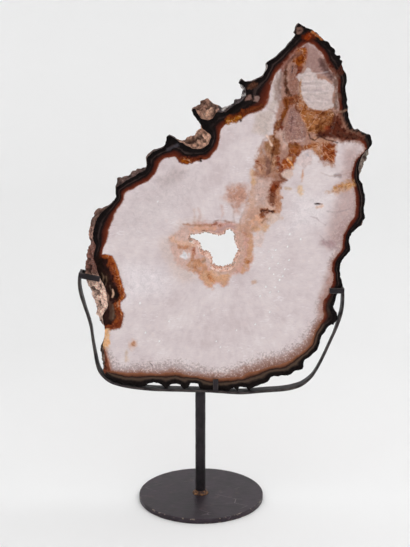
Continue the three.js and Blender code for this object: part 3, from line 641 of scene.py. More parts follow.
# %% The stained column that rises from the hole
COLUMN_STAINS = [
    ((193, 155, 136), 2.5, 0.9, AREA, [(40, 335), (46, 345), (50, 356), (54, 366), (56, 378), (57, 392),
     (60, 404), (68, 405), (76, 403), (84, 402), (92, 398), (96, 392), (92, 385), (93, 375), (93, 365),
     (92, 357), (84, 352), (79, 346), (76, 338), (68, 334), (58, 332), (48, 333)]),
    ((184, 156, 148), 3, 0.8, AREA, [(64, 400), (78, 402), (88, 398), (80, 390), (77, 374), (72, 364),
     (64, 366), (62, 378), (62, 390)]),
    ((177, 122, 96), 4.5, 0.75, AREA, [(31, 386), (37, 390), (54, 389), (55, 378), (52, 368), (47, 366),
     (44, 356), (39, 357), (36, 366), (24, 374), (29, 380)]),
    ((177, 126, 104), 3.5, 0.5, AREA, [(35, 384), (42, 386), (52, 384), (50, 374), (40, 370), (34, 375)]),
    ((195, 155, 123), 2.5, 0.8, 6, [(62, 338), (70, 336), (76, 340)]),
    ((232, 180, 148), 2, 0.7, 5, [(58, 344), (64, 350), (70, 346)]),
    ((201, 161, 124), 2, 0.8, 5, [(60, 404), (59, 398), (61, 392)]),
    ((120, 59, 34), 2.2, 0.95, AREA, [(77.5, 372), (78.5, 385), (82, 393), (87, 397), (93, 397), (98, 394),
     (93, 389), (91, 384), (89, 376), (87, 366), (84, 364), (80, 368)]),
    ((108, 66, 50), 1.5, 0.8, AREA, [(79, 372), (80, 380), (84, 380), (86, 374), (84, 367), (81, 368)]),
    ((121, 50, 16), 1.2, 0.9, AREA, [(79, 381), (80, 388), (86, 391), (91, 389), (88, 383), (84, 380)]),
    ((173, 122, 95), 1.2, 0.9, AREA, [(86, 382), (91, 386), (92, 380), (94, 372), (93, 362), (92, 356),
     (87, 358), (86, 370)]),
    ((114, 70, 54), 1.2, 0.85, 3, [(85, 399), (91, 396.5), (97, 394)]),
    ((91, 41, 26), 1.2, 0.9, 3.4, [(88, 414), (91, 405), (90.5, 397)]),
    ((150, 85, 44), 1.2, 0.95, AREA, [(68, 361), (76, 362), (84, 359), (87, 356), (80, 355.5), (76, 353),
     (73, 350), (69, 351)]),
    ((67, 26, 16), 0.8, 0.9, 2.6, [(70, 358.5), (76, 359), (83, 357.5)]),
    ((142, 102, 78), 1, 0.9, 1.6, [(71, 345), (74, 348.5), (78, 349.5)]),
    ((199, 173, 160), 1.5, 0.8, AREA, [(78, 354.5), (84, 355), (90, 355), (95, 350), (88, 346), (82, 343),
     (78, 348)]),
    ((194, 168, 160), 1, 0.8, 4, [(50, 345), (51, 352), (52, 358)]),
    ((215, 190, 182), 0.8, 0.9, 3, [(65, 373), (65.6, 376)]),
    ((162, 112, 90), 4, 0.35, AREA, [(46, 332), (50, 352), (58, 364), (68, 360), (70, 344), (62, 332)]),
]
print(len(COLUMN_STAINS), "stains in the column")

# %% The speckled patch, the fibrous column and their brown borders
VEIN_STAINS = [
    ((154, 109, 90), 2.5, 0.9, AREA, [(60, 400), (63, 412), (66, 428), (72, 440), (82, 447), (82, 458),
     (86, 474), (89, 490), (88, 505), (91, 520), (98, 532), (108, 543), (120, 547), (132, 541), (141, 526),
     (152, 514), (155, 500), (154, 482), (158, 468), (168, 452), (186, 444), (180, 440), (154, 438),
     (155, 428), (152, 414), (140, 412), (134, 424), (124, 430), (115, 426), (108, 414), (100, 398),
     (92, 392)]),
    ((190, 173, 166), 3.5, 0.85, AREA, [(62, 470), (74, 474), (80, 488), (82, 504), (90, 518), (90, 490),
     (84, 470), (80, 450), (72, 444), (60, 450)]),
    ((169, 145, 140), 1.4, 0.5, 1.4, [(68, 468), (80, 462)]),
    ((153, 121, 120), 1.4, 0.5, 1.4, [(74, 478), (87, 470)]),
    ((151, 124, 112), 1.4, 0.5, 1.4, [(79, 492), (90, 483)]),
    ((169, 137, 123), 1.4, 0.5, 1.4, [(80, 502), (91, 492)]),
    ((194, 169, 160), 1.4, 0.5, 1.4, [(60, 458), (72, 450)]),
    ((165, 120, 96), 2.5, 0.9, AREA, [(62, 404), (61, 412), (64, 422), (66, 432), (72, 438), (76, 442),
     (82, 446), (86, 444), (90, 436), (91, 428), (88, 420), (86, 412), (86, 404), (78, 401), (70, 402)]),
    ((116, 78, 70), 1.5, 0.8, AREA, [(72, 420), (78, 421), (80, 412), (80, 402), (76, 401), (73, 410)]),
    ((134, 68, 40), 1.2, 0.8, 3, [(64, 416), (68, 412), (70, 407)]),
    ((199, 151, 124), 1.2, 0.8, 2.6, [(67, 409), (69, 403)]),
    ((153, 111, 80), 2, 0.85, AREA, [(74, 432), (77, 441), (82, 445), (84, 436), (83, 427), (78, 426)]),
    ((122, 70, 39), 1.4, 0.95, AREA, [(83, 449), (88, 446), (92, 438), (91, 430), (90, 424), (84, 422),
     (80, 425), (81, 433), (83, 440)]),
    ((147, 91, 58), 1.4, 0.85, AREA, [(82, 420), (87, 421), (88, 412), (88, 404), (84, 404), (82, 412)]),
    ((83, 54, 44), 1, 0.6, 1.6, [(82, 425), (80.8, 417), (80.4, 408), (79, 402)]),
    ((236, 203, 186), 0.8, 0.8, 1.8, [(75, 446), (79, 438), (81, 434)]),
    ((168, 147, 143), 1, 0.7, 2, [(71, 440), (70, 432), (73, 425)]),
    ((132, 101, 93), 2.5, 0.6, 9, [(90, 512), (88, 500), (88, 488)]),
    ((116, 94, 84), 1.4, 0.7, 2.2, [(92, 522), (90, 512), (88, 500), (90, 492)]),
    ((78, 41, 25), 1.2, 0.95, 5, [(95, 524), (96, 512), (96, 502), (99, 494), (104, 489)]),
    ((128, 69, 37), 1.4, 0.95, AREA, [(92, 486), (97, 490), (106, 489), (109, 483), (104, 478),
     (100, 474), (98, 466), (94, 460), (91, 466), (93, 476)]),
    ((116, 59, 20), 1.2, 0.9, 3.4, [(97, 484), (98, 476), (95, 469), (92, 463)]),
    ((101, 39, 18), 1, 0.95, AREA, [(83, 450), (92, 449.5), (96, 454), (93, 461), (86, 461)]),
    ((135, 84, 54), 1.2, 0.9, 4.5, [(87, 460), (84, 450), (88, 444)]),
    ((140, 108, 95), 1, 0.7, 1.6, [(93, 458), (96, 465), (101, 473)]),
    ((133, 86, 76), 1.5, 0.9, 5, [(92, 520), (97, 528), (104, 535), (112, 541), (118, 545)]),
    ((98, 65, 52), 1, 0.8, 1.6, [(95, 522), (99, 529), (106, 536), (113, 542)]),
    ((152, 108, 93), 1.2, 0.95, AREA, [(103, 527), (107, 524), (108.5, 517), (109, 511), (110.5, 505),
     (111.5, 498), (110, 492), (105.5, 489), (101.5, 493), (100, 500), (99, 507), (98, 514), (98.5, 522)]),
    ((108, 80, 71), 1, 0.7, 2, [(110, 512), (112, 503), (112, 494), (108, 486)]),
    ((75, 52, 56), 0.6, 0.9, 1.6, [(103.4, 523), (103.6, 519), (102.6, 516)]),
    ((114, 51, 29), 1.2, 0.95, AREA, [(106, 524), (110, 526), (116, 523), (114, 516), (110, 512),
     (107, 512), (108, 518)]),
    ((152, 84, 30), 1.2, 0.95, AREA, [(105, 526), (104, 531), (107, 535), (109, 541), (113, 544),
     (118, 543), (120, 538), (119, 533), (120, 528), (114, 523), (109, 524)]),
    ((125, 57, 6), 1, 0.95, AREA, [(105, 529), (110, 532.5), (117.5, 532), (116, 526), (110, 525)]),
    ((120, 80, 68), 1, 0.8, 3, [(105, 533), (109, 537), (112, 539)]),
    ((150, 120, 115), 2, 0.85, AREA, [(118, 546), (121, 548), (128, 545), (134, 539), (138, 531),
     (141, 524), (148, 516), (153, 511), (152, 505), (144, 510), (136, 514), (128, 516), (122, 519),
     (118, 524), (120, 534), (120, 541)]),
    ((76, 48, 45), 2.2, 0.85, AREA, [(134, 532), (139, 531), (143, 523), (151, 514), (147, 509),
     (139, 514), (133, 522)]),
    ((83, 64, 55), 2, 0.75, 5, [(152, 512), (153.5, 500), (154, 488), (153, 478)]),
    ((195, 179, 176), 1, 0.95, AREA, [(107.5, 511.5), (113, 515), (120, 521), (127, 517), (132, 511),
     (140, 508), (148, 504), (151, 497), (148, 488), (150, 480), (147, 474), (138, 473.5), (128, 474),
     (122, 477), (118, 483), (114, 490), (112.5, 498), (113, 506)]),
    ((170, 148, 153), 1.4, 0.6, 1.4, [(114, 505), (120, 503), (126, 506)]),
    ((179, 159, 162), 1.4, 0.6, 1.4, [(117, 496), (126, 495), (134, 498), (142, 496)]),
    ((167, 144, 145), 1.4, 0.6, 1.4, [(118, 487), (126, 484), (136, 488), (146, 485)]),
    ((156, 128, 124), 1.4, 0.7, 1.6, [(114, 516), (118, 518), (122, 516)]),
    ((160, 108, 62), 0.9, 0.9, 1.5, [(113, 508), (112, 500), (113, 492), (116, 484), (121, 477),
     (128, 474), (136, 473)]),
]
print(len(VEIN_STAINS), "stains along the vein")

# %% The crust-floored hollow, the ochre zone right of it and the orange arc below
HOLLOW_STAINS = [
    ((156, 98, 54), 1.6, 0.95, AREA, [(107, 486), (113, 489), (117, 483), (121, 477), (130, 474),
     (140, 473), (149, 475), (153, 470), (150, 462), (146, 456), (138, 452), (128, 448), (122, 446),
     (120, 454), (116, 462), (112, 470), (110, 478)]),
    ((171, 107, 56), 1.4, 0.8, 5, [(113, 480), (115, 472), (118, 464)]),
    ((170, 116, 75), 1.4, 0.7, 4, [(122, 470), (130, 464), (128, 457)]),
    ((138, 79, 46), 1, 0.8, 1.4, [(116, 478), (124, 471), (134, 470), (142, 473)]),
    ((144, 90, 55), 1, 0.7, 1.6, [(118, 468), (124, 462), (134, 466), (142, 462)]),
    ((161, 120, 107), 1.4, 0.95, AREA, [(101, 478), (108, 479), (111, 473), (114, 466), (117, 460),
     (120, 453), (121, 446), (119.5, 439), (113, 437), (101, 436), (94, 438), (91.5, 443), (93, 449),
     (95, 454), (96.5, 460), (98.5, 466), (99.5, 472)]),
    ((157, 119, 111), 2.5, 0.7, 8, [(104, 470), (105, 458), (105, 448)]),
    ((99, 63, 59), 0.8, 0.7, 1.6, [(103.6, 466), (103.4, 458), (102.6, 450)]),
    ((134, 77, 48), 1.4, 0.85, 6, [(108, 488), (108, 481), (110, 475)]),
    ((184, 150, 137), 1.2, 0.9, AREA, [(84, 450), (91, 452), (96, 447), (97, 440), (100, 436), (98, 428),
     (93, 430), (90, 440)]),
    ((214, 178, 166), 0.9, 0.8, 1.8, [(101, 438), (107, 439), (114, 439.5), (119, 442)]),
    ((127, 74, 38), 1.8, 0.9, AREA, [(138, 471), (149, 474), (155, 468), (158, 458), (152, 448),
     (140, 446), (130, 448), (128, 454), (138, 460)]),
    ((160, 110, 72), 1.5, 0.6, 4, [(138, 464), (146, 468), (150, 471)]),
    ((115, 65, 28), 1.4, 0.85, 3, [(123, 450), (132, 456), (144, 453), (153, 449)]),
    ((133, 53, 26), 1.4, 0.85, 5, [(143, 454), (149, 452)]),
    ((78, 31, 17), 1.8, 0.95, AREA, [(152, 470), (157, 468), (160, 458), (168, 450), (186, 444),
     (182, 440), (164, 440), (152, 443), (140, 443), (130, 444), (134, 448), (148, 454)]),
    ((73, 47, 36), 1.8, 0.7, 3, [(156, 449), (166, 445), (178, 443)]),
    ((179, 132, 106), 1.2, 0.9, AREA, [(124, 440), (130, 443.5), (140, 442), (150, 439), (144, 434),
     (132, 434)]),
    ((66, 31, 22), 0.7, 0.9, 1.5, [(123, 448), (125, 442), (130, 440), (136, 445), (143, 441),
     (156, 437.5)]),
    ((142, 76, 31), 1.6, 0.95, AREA, [(99, 422), (99, 430), (102, 436), (108, 437.5), (116, 435.5),
     (124, 436), (134, 436), (131, 431), (122, 430), (116, 428), (113, 422), (108, 417), (103, 417)]),
    ((125, 82, 53), 1.2, 0.7, 3, [(101, 432), (107, 435), (114, 433)]),
    ((155, 75, 22), 1.2, 0.95, AREA, [(92, 406), (92, 412), (95, 418), (100, 420), (105, 417),
     (107, 413), (104, 407)]),
    ((222, 168, 104), 0.8, 0.8, 2, [(100, 418), (104, 413), (106, 409)]),
    ((122, 46, 19), 1.2, 0.9, 4, [(88, 421), (90, 413), (93, 406.5)]),
    ((174, 119, 81), 2, 0.85, AREA, [(126, 436), (138, 437), (139, 428), (137, 420), (130, 424),
     (127, 430)]),
    ((139, 68, 23), 1.4, 0.95, AREA, [(138, 437), (145, 438), (152, 436.5), (154.5, 428), (154, 420),
     (152, 415), (146, 417), (141, 414), (139, 420), (139, 428)]),
    ((129, 56, 17), 1.4, 0.8, 5, [(146, 432), (149, 424), (146, 420)]),
    ((192, 127, 87), 0.9, 0.8, 1.2, [(142, 427), (146, 420), (152, 417)]),
    ((171, 127, 103), 1.4, 0.7, 4, [(144, 413), (150, 412)]),
    ((202, 183, 181), 1.2, 0.95, AREA, [(112, 412), (110, 418), (114, 424), (120, 428), (126, 428.5),
     (128, 420), (126, 412), (118, 408)]),
    ((162, 154, 163), 1, 0.6, 3, [(120, 425), (122, 423)]),
    ((204, 178, 166), 1.2, 0.95, AREA, [(94, 402), (97, 407), (104, 406), (106, 400), (101, 396),
     (95, 398)]),
    ((119, 69, 50), 1, 0.85, 2.2, [(90, 400), (93, 396.5), (99, 394)]),
]
print(len(HOLLOW_STAINS), "stains at the hollow")

# %% Stains right of the vein and the coloured windows and flaws of the dark edge
EDGE_STAINS = [
    ((186, 132, 97), 1, 0.9, 2, [(117, 406), (117, 400), (116, 393)]),
    ((212, 178, 141), 1.6, 0.8, AREA, [(110, 388), (116, 389), (118, 382), (116, 377), (111, 379)]),
    ((184, 155, 128), 1.2, 0.7, 2.6, [(98, 385), (104, 384)]),
    ((184, 136, 90), 3, 0.8, AREA, [(144, 381), (154, 386), (166, 393), (175, 393), (177, 387),
     (168, 382), (156, 379)]),
    ((182, 128, 63), 1.6, 0.8, 3, [(154, 386), (164, 388), (174, 389)]),
    ((118, 100, 100), 1.6, 0.6, 3, [(155, 400), (160, 399.5)]),
    ((59, 41, 41), 0.6, 0.95, 1.8, [(132, 366.8), (137, 366.6)]),
    ((134, 93, 84), 0.7, 0.8, 1.2, [(137, 366.6), (140.5, 366.6)]),
    ((206, 169, 149), 1.2, 0.8, 3, [(134, 363), (141, 364.5)]),
    ((163, 140, 142), 0.8, 0.6, 0.9, [(127, 352), (134, 350), (139, 345), (145, 342)]),
    ((155, 122, 111), 0.8, 0.5, 0.8, [(138, 403), (148, 399), (160, 400), (171, 403)]),
    ((125, 112, 113), 1, 0.5, 1, [(146, 358), (158, 357), (172, 361)]),
    ((151, 134, 135), 0.8, 0.5, 0.9, [(138, 330), (146, 322), (158, 314), (163, 310)]),
    ((206, 164, 138), 2.5, 0.6, 9, [(-82, 197), (-81, 198)]),
    ((172, 118, 82), 1.5, 0.8, 4, [(-81.6, 197), (-81, 198.5)]),
    ((164, 125, 98), 0.9, 0.7, 2, [(-81.4, 197.4), (-80.6, 197)]),
    ((198, 168, 137), 2, 0.7, 3, [(-89, 178), (-89, 189)]),
    ((78, 65, 65), 0.6, 0.8, 1, [(-60.6, 174.6), (-58, 171.6)]),
    ((96, 70, 68), 0.6, 0.7, 1, [(46, 176), (49, 175.5)]),
    # the amber tongue on the left
    ((129, 60, 25), 0.9, 1, AREA, [(-121, 304), (-116, 306), (-112, 307.5), (-105, 305), (-101, 300),
     (-99, 294), (-97, 288), (-95, 281), (-94, 275), (-92, 268), (-90, 262), (-88.5, 257), (-91, 254),
     (-95, 250), (-96, 244), (-94, 239), (-92, 236), (-92.5, 230), (-94, 224), (-96, 219), (-101, 217.5),
     (-110, 216.5), (-122, 222), (-134, 260)]),
    ((181, 102, 43), 0.9, 0.75, 2.2, [(-110, 306), (-104, 303.5), (-101, 298), (-98, 288), (-95.5, 278),
     (-93, 268), (-90, 260), (-91.5, 256), (-96, 250.5), (-97, 243), (-94, 237.5), (-94, 230)]),
    ((98, 43, 28), 1.2, 0.8, 3, [(-97, 238), (-95, 230), (-97, 222), (-104, 220), (-112, 219)]),
    ((39, 18, 15), 1.6, 1, AREA, [(-125, 304), (-117, 303), (-109, 300), (-108, 292), (-105, 285),
     (-102, 276), (-98, 268), (-96, 262), (-96, 256), (-100, 251), (-103, 246), (-102, 240), (-102, 227),
     (-106, 222), (-114, 219), (-134, 240), (-134, 300)]),
    ((26, 12, 6), 1.6, 0.9, 7, [(-120, 305), (-117, 292), (-116, 280), (-108, 268), (-100, 258)]),
    ((70, 37, 34), 1.4, 0.7, 2.6, [(-106, 292), (-104, 282), (-100, 271)]),
    ((52, 29, 20), 1.6, 0.7, 5, [(-112, 283), (-109, 275), (-106, 268)]),
    ((77, 54, 44), 1.4, 0.9, AREA, [(-110, 250), (-105, 250), (-102, 245), (-102, 232), (-105, 226),
     (-110, 228), (-108, 238)]),
    ((100, 81, 66), 0.8, 0.7, 1.4, [(-104, 246), (-103, 238), (-104, 230)]),
    ((45, 24, 19), 1.2, 0.9, 6, [(-113, 238), (-114, 232), (-110, 227)]),
    ((201, 161, 135), 0.6, 0.95, 1.6, [(-104, 265), (-102.6, 260), (-104.6, 255.5)]),
    ((104, 84, 66), 0.5, 0.8, 1.2, [(-116, 285), (-114, 280), (-115, 275)]),
    ((104, 84, 66), 0.5, 0.7, 1.2, [(-111, 281), (-110.4, 275), (-112, 270)]),
    ((90, 71, 61), 0.5, 0.7, 1.2, [(-107, 270), (-106, 264)]),
    ((131, 100, 85), 0.6, 0.8, 1.8, [(-112, 262), (-109, 257), (-110, 251)]),
    # the lower left edge
    ((219, 172, 123), 1.6, 0.95, AREA, [(-119, 217), (-110, 217), (-108, 209), (-109, 200), (-112, 191),
     (-120, 190)]),
    ((215, 170, 132), 1.2, 0.7, 3, [(-113, 212), (-112, 205), (-114, 198)]),
    ((120, 66, 47), 1.4, 0.95, AREA, [(-121, 198), (-114, 196), (-112, 187), (-110, 178), (-108, 168),
     (-108, 163), (-122, 160)]),
    ((58, 33, 26), 1.2, 0.8, 3, [(-117, 190), (-116, 178), (-114, 168)]),
    ((201, 141, 115), 0.7, 0.9, 1, [(-114, 194), (-111.5, 184), (-109.5, 175), (-108, 168)]),
    # amber windows along the top
    ((105, 47, 22), 0.9, 1, AREA, [(-30, 421), (-26, 416.5), (-21, 413.2), (-16, 412.5), (-11, 414),
     (-4, 416.5), (6, 419), (11, 421), (2, 420.8), (-8, 420.5), (-18, 421.5)]),
    ((145, 74, 12), 1.2, 0.95, 5, [(-19, 417), (-14, 416)]),
    ((102, 44, 12), 1, 1, AREA, [(24, 456), (27, 458.4), (33, 460), (40, 461), (45, 463.6), (52, 469.6),
     (60, 472), (71, 476.5), (72, 481), (60, 479), (48, 475.5), (36, 470), (27, 464)]),
    ((159, 98, 24), 1.4, 0.95, 4.6, [(32, 461.5), (38, 463.5), (43, 466)]),
    ((95, 46, 22), 1.2, 0.9, 3.6, [(52, 473), (60, 475.5), (70, 479)]),
    ((24, 14, 14), 0.6, 0.95, 1.8, [(0, 419), (0, 416.6)]),
    ((53, 33, 30), 0.6, 0.95, 1.8, [(44.6, 464), (45.4, 462)]),
    ((70, 23, 6), 1, 1, AREA, [(113, 552), (115, 549.6), (121, 550.6), (126, 549.6), (128, 553),
     (127, 558), (121, 560), (116, 560), (112.6, 557)]),
    ((142, 55, 12), 1.4, 0.8, 4, [(118, 555), (123, 556)]),
    ((178, 106, 59), 1, 0.9, 2.4, [(125, 560.5), (131, 557.5), (136, 553)]),
    ((117, 87, 76), 1, 0.9, AREA, [(104, 562), (107, 566), (112, 566), (115, 562), (111, 559.6),
     (107, 560)]),
    ((47, 27, 23), 0.8, 0.8, 1.2, [(105, 564), (109, 562), (112, 563)]),
    ((71, 34, 24), 1.2, 0.9, AREA, [(154, 517), (157.5, 526), (160, 524), (161.5, 519), (160, 514),
     (156, 514)]),
    ((128, 99, 83), 1, 0.9, 2.6, [(156, 472), (160, 472.6), (165, 474.6)]),
    ((106, 72, 57), 1, 0.8, 1.5, [(147, 471), (152, 472.4), (157, 470)]),
    ((131, 99, 90), 0.8, 0.95, AREA, [(51, 485), (52.5, 491), (57, 492.6), (58.6, 487), (56, 484)]),
    ((137, 110, 102), 0.8, 0.95, AREA, [(60, 484), (60.4, 490), (64, 491.4), (66.4, 488), (65, 483)]),
    ((90, 55, 43), 0.8, 0.8, 1.4, [(55, 488), (58, 485.6)]),
    ((88, 55, 40), 1.2, 0.9, AREA, [(52, 497.6), (54, 503), (60, 506), (65, 505), (63, 500), (57, 497)]),
    ((63, 59, 65), 1.4, 0.8, 3, [(-38, 430), (-33, 431), (-27, 434)]),
]
print(len(EDGE_STAINS), "stains of the dark edge")

# %% Painted glints, fibres and tints
# Crystal faces that catch the light, painted as small white spots: painted glints
SPARKLES = [
    (103, 330.5), (87, 312), (101, 316), (83, 303), (103, 300), (80, 290), (92, 276), (96, 281),
    (87, 267), (81, 261), (69.5, 256.5), (81, 237), (42, 215), (3.5, 233), (18, 201), (23, 194),
    (33, 190), (79, 310), (90, 296), (98, 289), (85, 283), (91, 262), (76, 268), (-50, 201), (-72, 248),
    (-50, 369), (116, 325), (-66, 212), (-38, 226), (64, 222),
]
PAINTED_GLINTS = [((244, 240, 243), 0.5, 0.95, 1.3, [(x, z), (x + 0.5, z + 1.0)]) for x, z in SPARKLES]
# Fibres of the white window, light and dark in turn
WINDOW_FIBRES = [
    ((232, 222, 222) if number % 2 else (160, 142, 140), 1, 0.35, 1.2,
     [(113 + start, z), (121 + start, z + rise), (131, z + rise / 2), (144 - start, z + rise * 1.5)])
    for number, (z, start, rise) in enumerate([
        (482, 3, 2), (486, 2, -2), (489, 1, 3), (493, 0, 2), (497, 1, -2), (500, 0, 2), (504, 2, 1),
        (508, -1, -2), (511, -3, 2), (514, 1, 2)])
]
# Broad, soft tints of the plain quartz
FIELD_TINTS = [
    ((197, 185, 186), 15, 0.4, AREA, [(-98, 350), (-80, 376), (-60, 392), (-40, 412), (-5, 406), (0, 384),
     (-36, 350), (-85, 326)]),
    ((162, 126, 120), 8, 0.6, AREA, [(162, 312), (172, 332), (182, 350), (180, 384), (178, 404), (182, 436),
     (164, 432), (160, 384), (150, 350), (144, 322)]),
    ((164, 126, 116), 5, 0.9, AREA, [(148, 236), (160, 272), (160, 296), (170, 312), (156, 308), (148, 284),
     (140, 256), (138, 230)]),
    ((150, 116, 118), 3, 0.6, AREA, [(141, 324), (150, 326), (158, 318), (160, 312), (150, 314), (140, 318)]),
    ((170, 152, 152), 6, 0.6, AREA, [(-50, 394), (-30, 408), (-16, 404), (-24, 394), (-44, 386)]),
    ((222, 214, 217), 12, 0.6, AREA, [(-90, 250), (-40, 262), (-46, 290), (-90, 296)]),
    ((222, 214, 216), 12, 0.5, AREA, [(96, 330), (140, 344), (150, 376), (110, 376)]),
]
FINE_STAINS_AND_GLINTS = (HOLE_STAINS + COLUMN_STAINS + VEIN_STAINS + HOLLOW_STAINS + EDGE_STAINS + PAINTED_GLINTS
               + WINDOW_FIBRES)
STAINS_AND_GLINTS = FIELD_TINTS + FINE_STAINS_AND_GLINTS
print(len(STAINS_AND_GLINTS), "hand-drawn stains in all")

# %% [markdown]
# ## From drawn stains to colours
# In Blender, a pattern that no formula gives can be painted on an image. Here the mesh is fine enough
# to carry it: each point is given the colour of the stains and painted glints it lies in, laid over each
# other like thin washes, so the whole drawing stays a list of outlines that can be read and changed.

# %% Lay the stains over each other
WAVE, TEETH = 1.5, 1.2


def painted(points, stains, ruffle=1.0):
    """Colour and cover: each stain's share is a fade over its soft edge, and it lies over those before."""
    wave = rough_noise(points, 5.0, 31, 4) * ruffle
    teeth = rough_noise(points, 2.2, 37, 3) * ruffle
    tint, cover = np.zeros((len(points), 3)), np.zeros(len(points))
    for colour, soft, strength, width, line in stains:
        line = np.array(line, float)
        margin = soft * 2 + width + 3
        near = ((points > line.min(0) - margin) & (points < line.max(0) + margin)).all(1).nonzero()[0]
        if len(near) == 0:
            continue
        some = points[near]
        if width:
            reach = width / 2 - distance(some, line, closed=False)
        else:
            reach = into(some, line)
        ragged = min(1.0, 0.3 + soft * 0.5) * (min(1.0, width / 4) if width else 1.0)
        reach = reach + (wave[near] * WAVE + teeth[near] * TEETH) * ragged
        share = fade(reach, -soft * 1.15, soft * 1.15) * strength
        tint[near] = tint[near] * (1 - share)[:, None] + np.array(look(*colour)[:3]) * share[:, None]
        cover[near] = cover[near] * (1 - share) + share
    tint /= np.maximum(cover, 1e-4)[:, None]
    return np.column_stack([tint, cover])


print("colour and cover in the hole's stain", painted(np.array([[25.0, 344.0]]), HOLE_STAINS).round(2))

# %% What lies where on a sawn face
# What lies inside the dark bands, by place: reach of the brown blush and of the grains in mm, and how
# far the bands turn from red-brown to olive
FRINGE = np.array([
    [-110, 165, 5, 17, 0.7], [-60, 162, 7, 25, 0.9], [-20, 160, 8, 25, 0.8], [0, 157, 8, 21, 0.8],
    [20, 155, 11, 18, 0.9], [50, 158, 17, 25, 1], [80, 169, 18, 27, 1], [105, 178, 16, 26, 1],
    [125, 192, 13, 23, 0.9], [138, 218, 9, 17, 0.6], [144, 240, 6, 12, 0.4], [154, 280, 4, 5, 0.2],
    [160, 306, 3, 8, 0.1], [166, 322, 4, 19, 0], [169, 338, 4, 17, 0], [178, 352, 3, 9, 0],
    [178, 380, 3, 5, 0], [174, 410, 4, 7, 0.2], [186, 436, 5, 7, 0.3], [140, 530, 4, 5, 0.2],
    [110, 543, 2, 3, 0], [80, 505, 2, 2, 0], [30, 460, 1.5, 1.5, 0], [0, 418, 1.5, 1.5, 0],
    [-60, 394, 1.5, 2, 0], [-100, 350, 2, 2.5, 0], [-114, 312, 1.5, 2, 0], [-90, 255, 1.5, 2, 0],
    [-108, 214, 2, 3, 0.3],
])


def face_marks(points, border):
    """What the finish reads on a sawn face: rim share, blush, grain, olive share, openness and paint."""
    to_edge = distance(points, border)
    to_field = into(points, FIELD_LINE) + rough_noise(points, 6.0, 41, 4) * 0.7
    rim = np.where(to_field < 0, to_edge / np.maximum(to_edge - to_field, 1e-3), 1 + to_field / 20)
    near = 1 / (np.linalg.norm(points[:, None] - FRINGE[:, :2], axis=2) + 3) ** 3
    blush, grain, olive = (near @ FRINGE[:, 2:] / near.sum(1, keepdims=True)).T
    blush, grain = [np.clip(1 - to_field / reach, 0, 1) for reach in (blush, grain)]
    sunk = np.max([fade(into(points, line), -0.3, 0.8) for line, _, _ in HOLLOWS], axis=0)
    # the broad tints belong to the quartz alone, and the dark bands show only the fine stains and painted
    # glints
    paint = np.where(to_field[:, None] < 0, painted(points, FINE_STAINS_AND_GLINTS), painted(points, STAINS_AND_GLINTS))
    return {"rim": rim, "blush": blush, "grain": grain, "olive": olive, "sunk": sunk, "paint": paint}


print(len(FRINGE), "places of the fringe")

# %% Where the face needs a fine mesh
CELL = 1.5
CELL_MARGIN = 9
box_low, box_high = edge.min(0)[:2] - CELL_MARGIN, edge.max(0)[:2] + CELL_MARGIN
x_cells, z_cells = (np.arange(low, high, CELL) for low, high in zip(box_low, box_high))
cell_points = np.column_stack([c.ravel() for c in np.meshgrid(x_cells, z_cells, indexing="ij")])
stained = (painted(cell_points, FINE_STAINS_AND_GLINTS)[:, 3] > 0.02).reshape(len(x_cells), -1)
for axis in (0, 1):
    stained = stained | np.roll(stained, 1, axis) | np.roll(stained, -1, axis)
print("stained share of the slice's box", round(stained.mean(), 2))

# %% [markdown]
# ## The slice
# A saw cuts the geode, and the cut is ground and polished flat, so both broad faces are planes. The
# wall between them is the geode's own weathered skin, rough and lumpy. The front is one dense mesh,
# because its points carry the pattern: how far they lie across the rim, how brown the grains are and
# which stain covers them.

# %% Mesh of a sawn face
STAIN_STEP, RIM_STEP, FIELD_STEP, BACK_STEP = 0.92, 1.4, 3.2, 2.8
RIM_DEPTH = 20
# a grid keeps this share of its step from the outlines
CLEARANCE = 0.55
# a hollow's lip is a pair of lines, each this far from its outline, with points this far apart
LIP, LIP_STEP = 0.35, 0.9


def hexagons(low, high, step):
    """Points on a hexagonal grid: rows 0.866 of a step apart, every second one moved by half a step."""
    x, z = np.meshgrid(np.arange(low[0], high[0], step), np.arange(low[1], high[1], step * 0.866))
    x[1::2] += step / 2
    return np.column_stack([x.ravel(), z.ravel()])


def face_grid(border, opening, steps):
    """Three hexagonal grids, finest in the stains and coarsest in the field, joined by Delaunay triangles."""
    grids = []
    for kind, step in enumerate(steps):
        grid = hexagons(border.min(0), border.max(0), step)
        grid = grid[inside(grid, border) & ~inside(grid, opening)]
        to_border = distance(grid, border)
        column, row = ((grid - [x_cells[0], z_cells[0]]) / CELL).round().astype(int).T
        wants = np.where(stained[column, row], 0, np.where(to_border < RIM_DEPTH, 1, 2))
        clear = np.minimum(to_border, distance(grid, opening)) > CLEARANCE * step
        grids.append(grid[clear & (wants == kind)])
    lips = [walked(line, LIP_STEP) for line, _, _ in HOLLOWS]
    lips = np.vstack([lip + outward(lip) * side for lip in lips for side in (-LIP, LIP)])
    points = np.vstack([border, opening, lips, *grids])
    counts = np.cumsum([0, len(border), len(opening)])
    ties = [(a + i, a + (i + 1) % (b - a)) for a, b in zip(counts, counts[1:]) for i in range(b - a)]
    solved = delaunay_2d_cdt([Vector(p) for p in points.tolist()], ties, [], 1, 1e-6)
    points = np.array([tuple(p) for p in solved[0]])
    faces = np.array(solved[2])
    return points, faces[~inside(points[faces].mean(1), opening)]


front_points, front_faces = face_grid(front_edge, hole_edge, (STAIN_STEP, RIM_STEP, FIELD_STEP))
back_points, back_faces = face_grid(back_edge, hole_edge, (BACK_STEP,) * 3)
print("front", len(front_faces), "and back", len(back_faces), "triangles")

# %% Hollows sink into the front face
sink = np.zeros(len(front_points))
for line, depth, rough in HOLLOWS:
    within = into(front_points, line)
    floor_noise = rough * rough_noise(front_points, 2.6, 51, 3) * fade(within, 0.2, 2)
    sink = np.maximum(sink, fade(within, -0.3, 1.0) * depth + floor_noise)
sink[: len(front_edge) + len(hole_edge)] = 0
print("deepest hollow", round(sink.max(), 2), "mm")

